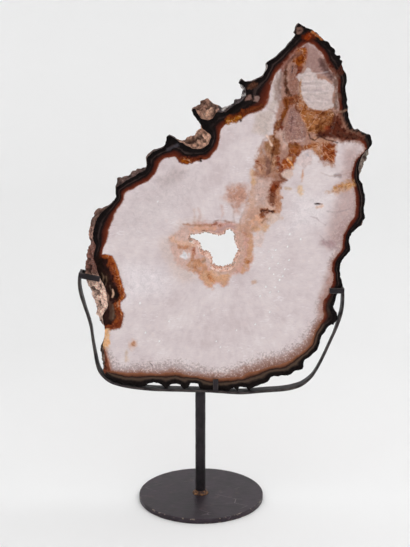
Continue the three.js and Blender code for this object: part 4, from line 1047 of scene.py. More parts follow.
# %% Walls between the faces
WALL_ROWS, HOLE_ROWS = 11, 6
WALL_BULGE = 0.35
# lumps in mm: on a steep wall, added to it on a wide slope, and in the hole
LUMP, SLOPE_LUMP, HOLE_LUMP = 0.5, 2.3, 0.4


def wall(front_ring, back_ring, rows, lump, seed):
    """Rows between two rings: a share v of the way, quicker near the face where the rind slopes out."""
    level = np.linspace(0, 1, rows)[1:-1, None, None]
    slope = level * (1 + WALL_BULGE * (1 - level))
    flat = front_ring + (back_ring - front_ring) * slope
    deep = np.broadcast_to(FRONT + (BACK - FRONT) * level[..., 0], flat.shape[:2])
    points = np.stack([flat[..., 0], deep, flat[..., 1]], axis=-1)
    across = outward(front_ring)
    flat_points = points.reshape(-1, 3)
    chunks = 0.8 - 2.4 * np.abs(rough_noise(flat_points, 7.5, seed + 5, 3))
    height = rough_noise(flat_points, 5.0, seed, 3) * 0.8 + chunks
    push = height.reshape(flat.shape[:2]) * lump * np.sin(np.pi * level[..., 0]) ** 0.5
    points[..., 0] += push * across[:, 0]
    points[..., 1] -= push * 0.8 * lump / (1 + lump)
    points[..., 2] += push * across[:, 1]
    return points.reshape(-1, 3), height


outer_wall, outer_height = wall(front_edge, back_edge, WALL_ROWS,
                                LUMP + SLOPE_LUMP * np.clip(slope_out / 14, 0, 1), 61)
hole_wall, _ = wall(hole_edge, hole_edge, HOLE_ROWS, HOLE_LUMP, 62)
print("wall points", len(outer_wall), "and", len(hole_wall))

# %% Colours of the rind
RIND_STAINS = [
    ((172, 132, 112), 2, 1, AREA, [(-34, 436), (-20, 450), (-4, 458), (6, 456), (14, 446), (12, 432),
     (0, 428), (-16, 430)]),
    ((120, 84, 66), 1.5, 0.9, 4, [(-26, 442), (-18, 441), (-10, 436)]),
    ((84, 56, 46), 0.8, 0.9, 1.4, [(-9, 446), (-8, 440), (-10, 434)]),
    ((196, 156, 134), 1.6, 0.8, 6, [(0, 442), (6, 444)]),
    ((158, 118, 100), 2, 1, AREA, [(-14, 470), (-8, 482), (0, 490), (8, 492), (18, 484), (20, 472),
     (14, 462), (2, 462), (-8, 468)]),
    ((112, 80, 66), 1.8, 0.9, 6, [(-8, 476), (0, 482), (6, 488)]),
    ((178, 140, 118), 1.6, 0.9, 6, [(6, 470), (12, 476)]),
    ((82, 52, 42), 0.8, 0.9, 1.6, [(3, 486), (8, 478), (4, 470)]),
    ((66, 58, 60), 2, 1, AREA, [(20, 470), (20, 482), (28, 482), (38, 488), (42, 496), (42, 506),
     (54, 506), (56, 490), (48, 482), (36, 474)]),
    ((184, 176, 172), 1.4, 0.8, 3, [(26, 476), (34, 480)]),
    ((214, 210, 208), 1.4, 0.9, 4, [(47, 500), (49, 493)]),
    ((190, 184, 182), 1.4, 0.8, 4, [(66, 514), (73, 522)]),
    ((66, 50, 47), 1.6, 0.8, AREA, [(-110, 384), (-100, 398), (-66, 412), (-58, 408), (-70, 396),
     (-92, 384)]),
    ((112, 100, 92), 2, 0.9, AREA, [(180, 446), (196, 430), (194, 412), (186, 398), (178, 400),
     (180, 420), (184, 432)]),
    ((176, 176, 160), 0.9, 0.8, 1.4, [(190, 428), (192, 420), (188, 408), (184, 400)]),
    ((132, 110, 96), 1.6, 0.8, AREA, [(-126, 170), (-124, 204), (-116, 204), (-112, 170)]),
    ((74, 50, 40), 1.6, 0.8, AREA, [(-132, 340), (-130, 364), (-104, 368), (-112, 352), (-118, 338)]),
    ((108, 68, 58), 2.4, 0.9, AREA, [(-140, 284), (-138, 318), (-126, 326), (-118, 318), (-120, 286)]),
    ((232, 196, 178), 3, 0.95, AREA, [(-134, 226), (-138, 280), (-108, 280), (-104, 236), (-116, 222)]),
]
DARK_RIND = (66, 50, 46)
PALE_RIND = (164, 126, 112)


def rind_colour(points, slope):
    """Dark where the skin drops steeply, pinkish brown where it slopes out, then the rind's stains."""
    pale = np.clip(slope / 6, 0, 1)[:, None]
    base = np.array(look(*DARK_RIND)[:3]) * (1 - pale) + np.array(look(*PALE_RIND)[:3]) * pale
    paint = painted(points[:, [0, 2]], RIND_STAINS, 1.4)
    cover = paint[:, 3:]
    return np.column_stack([base * (1 - cover) + paint[:, :3] * cover, np.ones(len(points))])


print(len(RIND_STAINS), "stains of the rind")

# %% [markdown]
# ## Finish of the sawn face
# Polished agate is quartz of two kinds. The middle is pale and sugary, and the rim is chalcedony in thin
# dark layers. One material mixes both by the numbers that the mesh carries, so that bands, blush and
# grains follow the stone's own edge, and noise adds what is too fine to draw.

# %% Pale quartz
HOLE_MIDDLE = (0.025, 0, 0.31)
FIBRES, FIBRE_LENGTH = 30.0, 14
METRE = 1000


def pale_quartz(f, sugar):
    """Cloudy grey-white quartz with fibres away from the hole, level streaks, feathers and small pits."""
    away = f.vector("SUBTRACT", f.place, HOLE_MIDDLE)
    # noise on the direction alone is drawn out along the radius, and the radius slowly changes it
    change = f.node("ShaderNodeCombineXYZ", None, {"Y": f.vector("LENGTH", away) / (FIBRE_LENGTH * MM)})
    spun = f.vector("ADD", f.vector("SCALE", f.vector("NORMALIZE", away), scale=FIBRES), change)
    fibres, cloud = f.noise(METRE, 2, 0.5, spun, 0.5), f.noise(30, 3, 0.55)
    streaks = f.noise(3.2, 3, 0.6, distortion=1.6, place=f.stretched(0.3, 1, 1))
    tone = fibres * 0.14 + cloud * 0.40 + f.noise(9, 3, 0.6) * 0.22 + streaks * 0.12 + sugar * 0.08
    body = f.ramp(tone, (0.38, (198, 183, 184)), (0.47, (207, 194, 195)), (0.54, (213, 201, 201)),
                  (0.64, (222, 213, 214)))
    feather = f.step(streaks, 0.56, 0.68) * f.step(f.noise(19, 2), 0.48, 0.62)
    body = f.blend(feather * 0.4, body, look(234, 228, 231))
    body = f.blend(f.step(streaks, 0.42, 0.32) * 0.25, body, look(192, 178, 184))
    pits = f.step(f.noise(2.3, 3, 0.7), 0.71, 0.78) * 0.30
    return f.blend(pits, body, look(172, 148, 144))


# %% Stains with the crystals' grain
def laced_stain(f, paint, sugar, grit):
    """The painted colours, mottled by the crystals, and how far they are thinned by bare quartz.

    The iron-brown ones, whose blue is weak beside their red, are laced with dark and pale lines.
    """
    mottle = (sugar - 0.5) * 0.9 + (grit - 0.5) * 0.35 + 1
    stain = f.blend(1.0, paint, f.grey(mottle), "MULTIPLY")
    red, blue = [f.node("ShaderNodeSeparateColor", None, {0: paint}, out=part) for part in ("Red", "Blue")]
    iron = f.step(blue / red.most(0.01), 0.42, 0.16)
    deep = f.blend(1.0, stain, stain, "MULTIPLY")
    vein = f.noise(9.0, 2, 0.5, distortion=0.8) - 0.5
    stain = f.blend(f.step(vein * vein, 0.0016, 0.0001) * iron * 0.6, stain, deep)
    stain = f.blend(f.step(f.noise(7, 3, 0.5), 0.46, 0.66) * iron * 0.45, stain, deep)
    crest = f.noise(11.0, 2, 0.5, distortion=0.8) - 0.5
    pale = f.step(crest * crest, 0.0005, 0.00005) * iron * f.step(red, 0.20, 0.34)
    stain = f.blend(pale * 0.4, stain, look(224, 184, 150))
    thinned = f.step(f.noise(7, 3, 0.6, distortion=0.6), 0.48, 0.30) * f.step(red, 0.22, 0.50)
    return stain, thinned * 0.25


# %% Blush and grains inside the rim
def fringed(f, face, cover):
    """A brown blush, then dark and pale grains, all thinning out from the rim into the quartz."""
    blush, grain, bare = f.mark("blush"), f.mark("grain"), 1 - cover * 0.85
    tint = f.ramp(blush, (0.0, (204, 170, 158)), (0.45, (176, 130, 110)), (1.0, (128, 86, 67)))
    clumps, specks = f.noise(4.5, 4, 0.65, distortion=0.8), f.noise(1.9, 3, 0.65)
    face = f.blend(f.step(blush + (clumps - 0.5) * 1.1, 0.0, 1.0) * 0.92 * bare, face, tint)
    thick = grain * 0.46 + (clumps - 0.5) * 0.5
    dark = f.step(specks + thick, 0.58, 0.90) * f.step(grain, 0.0, 0.3) * 0.5 * bare
    face = f.blend(dark, face, look(104, 70, 60))
    light = f.step(specks, 0.45, 0.36) * f.step(grain, 0.1, 0.5) * 0.40 * bare
    return f.blend(light, face, look(224, 202, 196))


# %% Dark bands of the rim
def banded(f, rim):
    """Near-black and red-brown layers by their share of the rim, olive-brown where the mesh says so."""
    # the share wanders a little so that the lines aren't even
    share = rim + (f.noise(7, 3) - 0.5) * 0.14 + (f.noise(2.4, 3) - 0.5) * 0.06
    bands = f.ramp(share, (0.0, (13, 9, 9)), (0.30, (16, 10, 10)), (0.37, (52, 40, 38)),
                   (0.43, (54, 43, 40)), (0.48, (17, 11, 11)), (0.58, (26, 14, 13)), (0.68, (60, 24, 16)),
                   (0.84, (84, 33, 20)), (0.95, (98, 42, 26)), (1.0, (118, 60, 40)))
    shade = f.step(share, 0.62, 0.50) * f.step(f.noise(19, 3), 0.42, 0.60)
    bands = f.blend(shade * 0.85, bands, look(15, 10, 10))
    olives = f.ramp(share, (0.0, (14, 10, 10)), (0.32, (19, 13, 12)), (0.42, (50, 40, 35)),
                    (0.52, (78, 62, 51)), (0.63, (66, 50, 42)), (0.675, (34, 25, 23)),
                    (0.71, (44, 30, 25)), (0.80, (92, 56, 40)), (1.0, (138, 88, 64)))
    olive = f.mark("olive") + (f.noise(24, 2) - 0.5) * 0.9
    return f.blend(f.step(olive, 0.30, 0.55), bands, olives)


# %% The sawn face
def quartz_face():
    """Quartz under its stains, fringed by grains, inside the dark bands, and rough in the hollows."""
    f = Finish("agate_polished")
    paint, cover = f.mark("paint", "Color"), f.mark("paint", "Alpha")
    rim, sunk = f.mark("rim"), f.mark("sunk")
    sugar, grit = f.noise(4.5, 4, 0.6, distortion=1.0), f.noise(1.4, 3, 0.65)
    stain, thinned = laced_stain(f, paint, sugar, grit)
    face = f.blend(cover * (1 - thinned), pale_quartz(f, sugar), stain)
    face = f.blend(f.step(rim, 1.035, 0.985), fringed(f, face, cover), banded(f, rim))
    face = f.blend(cover * f.step(rim, 1.03, 0.98), face, stain)
    # the floor of a hollow is salt and pepper, and rough
    face = f.blend(f.step(grit, 0.54, 0.60) * sunk * 0.55, face, look(92, 66, 68))
    face = f.blend(f.step(grit, 0.42, 0.36) * sunk * 0.45, face, look(206, 182, 178))
    relief = f.bump((sugar * 0.5 + grit * 0.5) * sunk, 1.8)
    rough = f.step(sugar, 0.3, 0.7) * 0.10 + 0.24 + sunk * 0.4
    return f.surface(Base_Color=face, Roughness=rough, Specular_IOR_Level=0.05, Normal=relief)


polished = quartz_face()
print("sawn face of", len(polished.node_tree.nodes), "nodes")

# %% [markdown]
# ## Finish of the rind
# The geode's skin is a crust of small weathered chunks. A cell pattern with bent borders gives the
# chunks, each a little lighter or darker than the next, over the colours that the mesh carries. The
# colour is also painted lighter on the lumps and darker in their hollows and cracks: painted light and shade.

# %% The rind
CHUNK, CHUNK_BEND = 4.6, 4.0


def weathered_rind():
    """Chunky skin: the mesh's colours by chunk, lighter on the lumps and darker in their hollows and cracks
    as painted light and shade, and pale grains on top.
    """
    f = Finish("agate_rind")
    skin, chunk = f.mark("rind", "Color"), f.mark("chunk")
    lumps, grit = f.noise(5, 4, 0.65), f.noise(1.3, 3, 0.7)
    jitter = {"Vector": f.place, "Scale": 260.0, "Detail": 2.0}
    jitter = f.node("ShaderNodeTexNoise", None, jitter, out="Color")
    moved = f.vector("ADD", f.place, f.vector("SCALE", jitter, scale=CHUNK_BEND * MM))
    cell = {"Vector": moved, "Scale": 1 / (CHUNK * MM)}
    crack = f.node("ShaderNodeTexVoronoi", {"feature": "DISTANCE_TO_EDGE"}, cell)
    each = f.node("ShaderNodeTexVoronoi", {"feature": "F1"}, cell, out="Color")
    one = f.node("ShaderNodeSeparateColor", None, {0: each}, out="Red")
    # lighter where the mesh's lumps and the noises of the relief rise, darker where they sink: painted light
    # and shade, with a random tone for each chunk
    shade = chunk * 0.80 + one * 0.45 + lumps * 0.50 + grit * 0.25 + 0.12
    body = f.blend(1.0, skin, f.grey(shade), "MULTIPLY")
    # the cracks between the chunks, sunk in the relief, are painted dark: painted shade
    gap = f.step(crack + (lumps - 0.5) * 0.25, 0.13, 0.02)
    body = f.blend(gap * 0.5, body, look(58, 38, 34))
    # the lowest parts of the lumps are painted darker still: painted shade
    body = f.blend(f.step(chunk, 0.34, 0.10) * 0.6, body, look(48, 33, 30))
    body = f.blend(f.step(grit, 0.58, 0.70) * f.step(chunk, 0.45, 0.8) * 0.6, body, look(232, 212, 202))
    relief = f.bump(lumps * 0.6 + crack.least(0.25) * 2.0 + grit * 0.4, 2.4, 0.9)
    return f.surface(Base_Color=body, Roughness=0.66 + grit * 0.2, Specular_IOR_Level=0.25, Normal=relief)


rind = weathered_rind()
print("rind of", len(rind.node_tree.nodes), "nodes")

# %% [markdown]
# ## One stone
# The grown stone is one piece, so its two faces and its two walls are one closed mesh with shared
# points along the edges, and two materials tell sawn stone from skin.

# %% Number the points and faces
def lifted(points, deep):
    """Flat points of [x, z] stood upright at the depth deep."""
    return np.column_stack([points[:, 0], np.broadcast_to(deep, len(points)), points[:, 1]])


n_edge, n_hole = len(front_edge), len(hole_edge)
parts = [lifted(front_points, FRONT + sink), lifted(back_points, BACK), outer_wall, hole_wall]
starts = np.cumsum([0] + [len(part) for part in parts])


def wall_rings(front_first, back_first, wall_first, count, rows):
    """Point numbers of a wall's rows, with the faces' own edge points as the first and last row."""
    middle = wall_first + np.arange((rows - 2) * count).reshape(-1, count)
    return np.vstack([front_first + np.arange(count), middle, back_first + np.arange(count)])


def wall_faces(rings, flip):
    """The quads between neighbouring rows of point numbers, turned round where the wall faces inwards."""
    quads = np.stack([rings[:-1], np.roll(rings, -1, 1)[:-1], np.roll(rings, -1, 1)[1:], rings[1:]], -1)
    quads = quads.reshape(-1, 4)
    return quads[:, ::-1] if flip else quads


outer_quads = wall_faces(wall_rings(0, starts[1], starts[2], n_edge, WALL_ROWS), False)
hole_rings = wall_rings(n_edge, starts[1] + n_edge, starts[3], n_hole, HOLE_ROWS)
hole_quads = wall_faces(hole_rings, True)
slice_points = np.vstack(parts)
slice_faces = (front_faces.tolist() + (back_faces[:, ::-1] + starts[1]).tolist()
               + outer_quads.tolist() + hole_quads.tolist())
face_finish = np.zeros(len(slice_faces), int)
face_finish[len(front_faces) + len(back_faces):] = 1

print(len(slice_points), "points,", len(slice_faces), "faces")

# %% Marks on the points
# the hole's wall is pinkish quartz, within this many mm of its middle
HOLE_CENTRE, HOLE_REACH = (18, 312), 45
HOLE_WALL_COLOUR = (206, 160, 138)

front_marks = face_marks(front_points, front_edge)
back_marks = face_marks(back_points, back_edge)
marks = {}
for key, values in front_marks.items():
    blank = np.zeros((len(outer_wall) + len(hole_wall), *values.shape[1:]))
    marks[key] = np.concatenate([values, back_marks[key], blank])
slope_all = np.zeros(len(slice_points))
slope_all[starts[2]:starts[3]] = np.tile(slope_out, WALL_ROWS - 2)
slope_all[:n_edge] = slope_out * 0.5
slope_all[starts[1]:starts[1] + n_edge] = slope_out
marks["rind"] = rind_colour(slice_points, slope_all)
# the lumps' height, by which the rind's finish paints light on the lumps and shade in their hollows
marks["chunk"] = np.full(len(slice_points), 0.5)
marks["chunk"][starts[2]:starts[3]] = fade(outer_height, -0.9, 1.1)
in_hole = np.linalg.norm(slice_points[:, [0, 2]] - HOLE_CENTRE, axis=1) < HOLE_REACH
marks["rind"][in_hole, :3] = look(*HOLE_WALL_COLOUR)[:3]
# the hole's wall is given a lump's full height: the painted light of a lump's top and none of the painted
# shade
marks["chunk"][in_hole] = 1
stone = piece("agate_stone", slice_points, slice_faces, ["agate_slice"], [polished, rind],
              marks=marks, face_finish=face_finish, sharp=48)
print("stone's box", [round(v / MM) for v in stone.dimensions], "mm")

# %% [markdown]
# ## Crystals of the hole
# The hole was the last space left in the geode. Quartz grew into it as a druse, a crust of small
# six-sided points that lean towards the middle. The crust follows the stone's edge of the hole and
# reaches inwards to the outline through which one sees the background.

# %% The crust
SEE_LINE = np.array([
    [-12.5, 327.5], [-11, 330], [-4, 329.8], [0, 331], [4, 332.5], [9, 331.7], [14, 330.3], [19, 329],
    [24, 328], [28, 329], [29, 333], [31, 335.5], [34, 336.3], [36, 334], [38.5, 331], [39.5, 326],
    [39.5, 320], [41, 316], [44.5, 311.5], [42, 308], [40, 304], [38.5, 300], [37, 295.5], [33, 293.2],
    [28, 291.8], [22, 291.7], [18, 293], [13, 294.5], [14, 299], [13, 304], [10, 308.5], [5, 310.5],
    [1, 311.5], [0.5, 315], [1.5, 319], [-2, 321.5], [-5, 323.5], [-12, 325],
])
CRUST_RINGS = 12
CRUST_FRONT, CRUST_BACK = -6.6, 6.6
# over the depth the crust swells as a sine to the power SWELL, to a share of the way to the outline
SWELL, CRUST_SHARE, ROOT_SHARE = 0.7, 0.86, 0.72
CRUST_BUMPS = 0.55
# the closing rows lie this far behind the stone's edge, at these depths
CRUST_ROOT, ROOT_DEPTHS = 0.3, (4.5, 0, -4.5)

see = walked(SEE_LINE, 0.4)
rim_of_hole = walked(HOLE_LINE, 0.7)
nearest = np.linalg.norm(rim_of_hole[:, None] - see, axis=2).argmin(1)
inward = see[nearest] - rim_of_hole
inward = sum(np.roll(inward, k, 0) for k in range(-3, 4)) / 7
through = np.linspace(0, 1, CRUST_RINGS)[:, None]
bulge = np.sin(np.pi * through) ** SWELL * CRUST_SHARE
crust_flat = rim_of_hole + (inward * bulge[..., None]).reshape(CRUST_RINGS, -1, 2)
crust_deep = np.broadcast_to(CRUST_FRONT + (CRUST_BACK - CRUST_FRONT) * through, crust_flat.shape[:2])
crust = np.stack([crust_flat[..., 0], crust_deep, crust_flat[..., 1]], -1)
bumps = rough_noise(crust.reshape(-1, 3), 2.6, 71, 3).reshape(CRUST_RINGS, -1) * CRUST_BUMPS * bulge
unit = inward / np.linalg.norm(inward, axis=1, keepdims=True)
crust[..., 0] += bumps * unit[:, 0]
crust[..., 2] += bumps * unit[:, 1]
root_flat = rim_of_hole - unit * CRUST_ROOT
root = [lifted(root_flat, deep) for deep in ROOT_DEPTHS]
crust = np.concatenate([crust, np.stack(root)])
crust_faces = tube_faces(len(crust), len(rim_of_hole), closed_along=True)[:, ::-1]
print("crust of", len(crust_faces), "faces")

# %% Crystal points on the crust
CRYSTALS = 190
SIDES = 6
seeded = np.random.default_rng(7)


def crystals(roots, toward, radius, height):
    """Hexagonal prisms with pyramid tips: rings at 0, 0.62 and a point at 1 of the height, closed below."""
    side = np.cross(toward, [0.31, 0.22, 0.92])
    side /= np.linalg.norm(side, axis=1, keepdims=True)
    other = np.cross(toward, side)
    angle = np.arange(SIDES) * 2 * math.pi / SIDES
    ring = np.cos(angle)[:, None, None] * side + np.sin(angle)[:, None, None] * other
    ring = ring * radius[:, None]
    low = roots + ring
    high = roots + toward * (height * 0.62)[:, None] + ring * 0.9
    tip = (roots + toward * height[:, None] + side * (radius * 0.2)[:, None])[None]
    points = np.concatenate([low, high, tip, roots[None]]).transpose(1, 0, 2)
    k, after = np.arange(SIDES), (np.arange(SIDES) + 1) % SIDES
    sides = np.stack([k, after, after + SIDES, k + SIDES], -1).tolist()
    caps = np.stack([k + SIDES, after + SIDES, np.full(SIDES, 2 * SIDES)], -1).tolist()
    base = np.stack([after, k, np.full(SIDES, 2 * SIDES + 1)], -1).tolist()
    each = 2 * SIDES + 2
    faces = [[c + i * each for c in face] for i in range(len(roots)) for face in sides + caps + base]
    return points.reshape(-1, 3), faces


spot = seeded.integers(0, len(rim_of_hole), CRYSTALS)
row = seeded.uniform(0.06, 0.80, CRYSTALS)
share_in = np.sin(np.pi * row) ** SWELL * ROOT_SHARE
roots = np.column_stack([rim_of_hole[spot] + inward[spot] * share_in[:, None], np.zeros(CRYSTALS)])
roots = np.column_stack([roots[:, 0], CRUST_FRONT + (CRUST_BACK - CRUST_FRONT) * row, roots[:, 1]])
lean = seeded.normal(0, 0.45, (CRYSTALS, 3))
toward = np.column_stack([unit[spot, 0], (row - 0.5) * 1.1 - 0.25, unit[spot, 1]]) + lean
toward /= np.linalg.norm(toward, axis=1, keepdims=True)
thick = seeded.uniform(0.6, 1.3, CRYSTALS)
reach = np.linalg.norm(inward[spot], axis=1)
tall = np.clip(reach * seeded.uniform(0.35, 0.75, CRYSTALS), 1.1, 3.6)
points, faces = crystals(roots, toward, thick, tall)
crust_points = crust.reshape(-1, 3)
crust_all = crust_faces.tolist() + [[c + len(crust_points) for c in face] for face in faces]
print(CRYSTALS, "crystals")

# %% Clear points on a tan bed
quartz = Finish("clear_quartz")
haze = quartz.blend(quartz.step(quartz.noise(7, 3), 0.35, 0.7), look(230, 182, 160), look(246, 224, 212))
clear = quartz.surface(Base_Color=haze, Roughness=0.08, Transmission_Weight=0.5, IOR=1.54)
bed = Finish("druse_bed")
grit, cells = bed.noise(2.2, 4, 0.65), bed.noise(6, 3)
tan = bed.ramp(grit * 0.6 + cells * 0.4, (0.34, (150, 98, 80)), (0.44, (206, 158, 138)),
               (0.56, (234, 204, 192)), (0.70, (248, 238, 234)))
bed_finish = bed.surface(Base_Color=tan, Roughness=0.35 + grit * 0.3, Specular_IOR_Level=0.3,
                         Normal=bed.bump(grit, 1.2, 0.7))
kinds = np.concatenate([np.ones(len(crust_faces), int), np.zeros(len(faces), int)])
piece("hole_druse", np.concatenate([crust_points, points]), crust_all, ["vug_crystals"],
      [clear, bed_finish], face_finish=kinds)

# %% [markdown]
# ## The stand
# A smith bent one flat bar cold round the slice, so its line isn't a true curve anywhere, and welded
# short strips to it that keep the stone from tipping. Post and plate are turned and cut from stock
# steel. Everything is blackened and waxed, which leaves dull streaks, worn corners and fine scratches.

# %% Blackened iron
def black_iron():
    """Waxed black patina: cloudy dark steel, drawn-out streaks, and a pale wear on the outer corners."""
    f = Finish("black_iron")
    clouds, dust = f.noise(26, 4, 0.6), f.noise(1.1, 2, 0.6)
    streaks = f.noise(3.2, 4, 0.6, place=f.stretched(0.35, 1, 0.35))
    tone = clouds * 0.45 + streaks * 0.40 + dust * 0.15
    body = f.blend(f.step(tone, 0.34, 0.66), look(17, 13, 16), look(42, 35, 39))
    wear = f.step(f.mark("wear") + (clouds - 0.5) * 0.5, 0.75, 1.0) * f.step(streaks, 0.35, 0.6)
    body = f.blend(wear * 0.4, body, look(92, 84, 80))
    relief = f.bump(streaks * 0.5 + dust * 0.5, 0.25, 0.5)
    return f.surface(Base_Color=body, Roughness=0.42 + dust * 0.14 + clouds * 0.12, Metallic=0.35,
                     Specular_IOR_Level=0.35, Normal=relief)


iron = black_iron()
print("black iron of", len(iron.node_tree.nodes), "nodes")

# %% [markdown]
# ## The cradle bar
# One strip of flat bar runs down the left of the slice, under it and up the right. It is a section
# carried along a line: the line was traced along the bar's front edge in the photo, a smooth curve goes
# through its points, and the section leans out where the real bar was twisted a little in bending.

# %% The cradle bar
BAR_LINE = np.array([
    [-142.6, 286], [-144.2, 279], [-144.6, 270], [-143.3, 260], [-139.8, 247.5], [-134.6, 230.5],
    [-131.6, 218], [-130.2, 206], [-128.7, 193.6], [-126.8, 180], [-125.2, 171], [-122.8, 163.7],
    [-117.4, 156.2], [-109, 149.5], [-97.1, 145.2], [-85.2, 142.7], [-61, 139.9], [-37, 138.8],
    [-13, 138.2], [11, 137.5], [35, 135.8], [47, 135.3], [59, 136], [83, 138], [95, 138.8],
    [107, 140.6], [118.7, 144.3], [125.3, 148.6], [133, 156.2], [137.8, 163.7], [141.8, 171.2],
    [148.6, 186.1], [154.8, 201], [161.1, 215.8], [163.7, 223.1], [166.2, 230.5], [167.9, 237.8],
    [168.8, 246], [169, 258], [168.2, 267],
])
# how far the hand-bent bar leans out towards its back: share of its length, degrees
BAR_LEAN = np.array([[0, 0], [0.05, 0], [0.09, 4], [0.17, 4], [0.23, 0],
                     [0.72, 0], [0.78, 9], [0.88, 9], [0.93, 0], [1, 0]])
BAR_WIDTH, BAR_THICKNESS, BAR_CORNER = 14.5, 3.0, 0.6
BAR_STEPS = 420
# the section's sides are cut into stretches of about this many mm, and a round corner into ARC points
SECTION_STEP, ARC = 1.3, 5
# the noise moves a bar's surface by these shares of the ripple along x, y and z
RIPPLE_SHARES = np.array([0.6, 0.3, 0.6])
print(len(BAR_LINE), "points along the bar")

# %% A smooth line through the points
def smooth_line(points, count):
    """Centripetal Catmull-Rom: knots at the root of each chord, tangents from the neighbours' slopes."""
    points = np.vstack([2 * points[0] - points[1], points, 2 * points[-1] - points[-2]])
    knots = np.cumsum(np.concatenate([[0], np.linalg.norm(np.diff(points, axis=0), axis=1) ** 0.5]))
    slope = np.diff(points, axis=0) / np.diff(knots)[:, None]
    wide = (points[2:] - points[:-2]) / (knots[2:] - knots[:-2])[:, None]
    tangent = slope[1:] - wide + slope[:-1]
    dense = np.linspace(0, len(tangent) - 1.000001, 6000)
    k, u = dense.astype(int), (dense % 1)[:, None]
    gap = (knots[k + 2] - knots[k + 1])[:, None]
    curve = ((2 * u**3 - 3 * u**2 + 1) * points[k + 1] + (u**3 - 2 * u**2 + u) * gap * tangent[k]
             + (3 * u**2 - 2 * u**3) * points[k + 2] + (u**3 - u**2) * gap * tangent[k + 1])
    gone = np.concatenate([[0], np.cumsum(np.linalg.norm(np.diff(curve, axis=0), axis=1))])
    even = np.linspace(0, gone[-1], count)
    return np.column_stack([np.interp(even, gone, column) for column in curve.T])


bar_front = smooth_line(BAR_LINE, BAR_STEPS)
print("bar's step", round(np.linalg.norm(bar_front[1] - bar_front[0]), 2), "mm")

# %% A bar along a line
def bar_section(thickness, width, corner, inset):
    """A rectangle with round corners, smaller by inset on every side: [across, along, 1 on a corner]."""
    turn = np.linspace(0, math.pi / 2, ARC)
    low, high = corner, np.array([thickness, width]) - corner
    centres = [(high[0], low), (high[0], high[1]), (low, high[1]), (low, low)]
    arcs, loop = [], []
    for number, (x, y) in enumerate(centres):
        angle = turn + (number - 1) * math.pi / 2
        arcs.append(np.column_stack([x + (corner - inset) * np.cos(angle),
                                     y + (corner - inset) * np.sin(angle), np.ones(ARC)]))
    for here, after in zip(arcs, arcs[1:] + arcs[:1]):
        loop.append(here)
        sides = max(1, int(np.linalg.norm(after[0] - here[-1]) / SECTION_STEP))
        side = here[-1] + (after[0] - here[-1]) * np.arange(1, sides)[:, None] / sides
        loop.append(side * [1, 1, 0])
    return np.vstack(loop)


def forged(line, inward, across, thickness, width, corner, ripple, seed):
    """A bar along line: its section at each place, round at both ends and rippled by noise."""
    along = np.gradient(line, axis=0)
    along /= np.linalg.norm(along, axis=1, keepdims=True)
    turn = np.linspace(0, math.pi / 2, 4)[1:]
    steps = [(0, corner * (1 - math.cos(a)), corner * (1 - math.sin(a))) for a in turn[::-1]]
    places = ([(0, inset * 0.97, back) for _, inset, back in steps]
              + [(i, 0, 0) for i in range(1, len(line) - 1)]
              + [(len(line) - 1, inset * 0.97, -back) for _, inset, back in steps[::-1]])
    rings, wear = [], []
    for i, inset, back in places:
        loop = bar_section(thickness, width, corner, inset)
        start = line[i] + along[i] * back
        rings.append(start + loop[:, :1] * inward[i] + loop[:, 1:2] * across[i])
        wear.append(np.maximum(loop[:, 2], float(inset > 0)))
    points = np.concatenate(rings)
    points = points + rough_noise(points, 9, seed, 3)[:, None] * ripple * RIPPLE_SHARES
    faces = tube_faces(len(rings), len(loop)).tolist() + end_caps(len(rings), len(loop))
    return points, faces, {"wear": np.concatenate(wear)}


print("section of", len(bar_section(BAR_THICKNESS, BAR_WIDTH, BAR_CORNER, 0)), "points")

# %% Carry the section along the bar's line
bar_path = lifted(bar_front, -BAR_WIDTH / 2)
bar_along = np.gradient(bar_path, axis=0)
bar_along /= np.linalg.norm(bar_along, axis=1, keepdims=True)
lean = np.radians(np.interp(np.linspace(0, 1, BAR_STEPS), BAR_LEAN[:, 0], BAR_LEAN[:, 1]))[:, None]
level_in = np.column_stack([-bar_along[:, 2], np.zeros(BAR_STEPS), bar_along[:, 0]])
level_back = np.broadcast_to([0.0, 1.0, 0.0], (BAR_STEPS, 3))
# both directions turned about the bar's own line by minus the lean
bar_in, bar_back = [v * np.cos(lean) - np.cross(bar_along, v) * np.sin(lean) for v in (level_in, level_back)]
points, faces, worn = forged(bar_path, bar_in, bar_back, BAR_THICKNESS, BAR_WIDTH, BAR_CORNER, 0.16, 81)
piece("cradle", points, faces, ["cradle_bar"], [iron], marks=worn, sharp=40)

# %% [markdown]
# ## Fingers and tabs
# Three pairs of short strips, one in front of the slice and one behind, are welded to the bar's edges
# and keep the stone from tipping. A loop over three rows makes them, each as a short straight bar.

# %% Six strips
STRIP_WIDTH, STRIP_THICKNESS, STRIP_CORNER = 6.5, 3.0, 0.55
# side, kind, length in mm, x and z of the strip's start, and its slope
STRIPS = [("left", "finger", 25.6, -143.4, 282.9, -0.19), ("right", "finger", 17.4, 151, 264, 0.0),
          ("bottom", "tab", 15, 17.5, 139.9, math.pi / 2)]
for number, (side, kind, length, x, z, slope) in enumerate(STRIPS):
    ahead = np.array([math.cos(slope), 0, math.sin(slope)])
    up = np.array([-math.sin(slope), 0, math.cos(slope)])
    for place, near in (("front", -BAR_WIDTH / 2 - STRIP_THICKNESS), ("back", BAR_WIDTH / 2)):
        line = np.array([x, near, z]) - up * STRIP_WIDTH / 2 + np.linspace(0, length, 14)[:, None] * ahead
        frames = [np.broadcast_to(v, line.shape) for v in (np.array([0.0, 1.0, 0.0]), up)]
        points, faces, worn = forged(line, *frames, STRIP_THICKNESS, STRIP_WIDTH, STRIP_CORNER, 0.14,
                                     90 + number)
        piece(f"{side}_{place}_strip", points, faces, [f"{side}_{place}_{kind}"], [iron],
              marks=worn, sharp=40)

# %% [markdown]
# ## Post, plate and weld
# The post, the plate and the bead of weld round the post's foot are all round about one upright axis, so
# each is a profile of radius and height, turned. A slight noise keeps them from looking machined, and
# the patina is worn off along the plate's rounded edge.

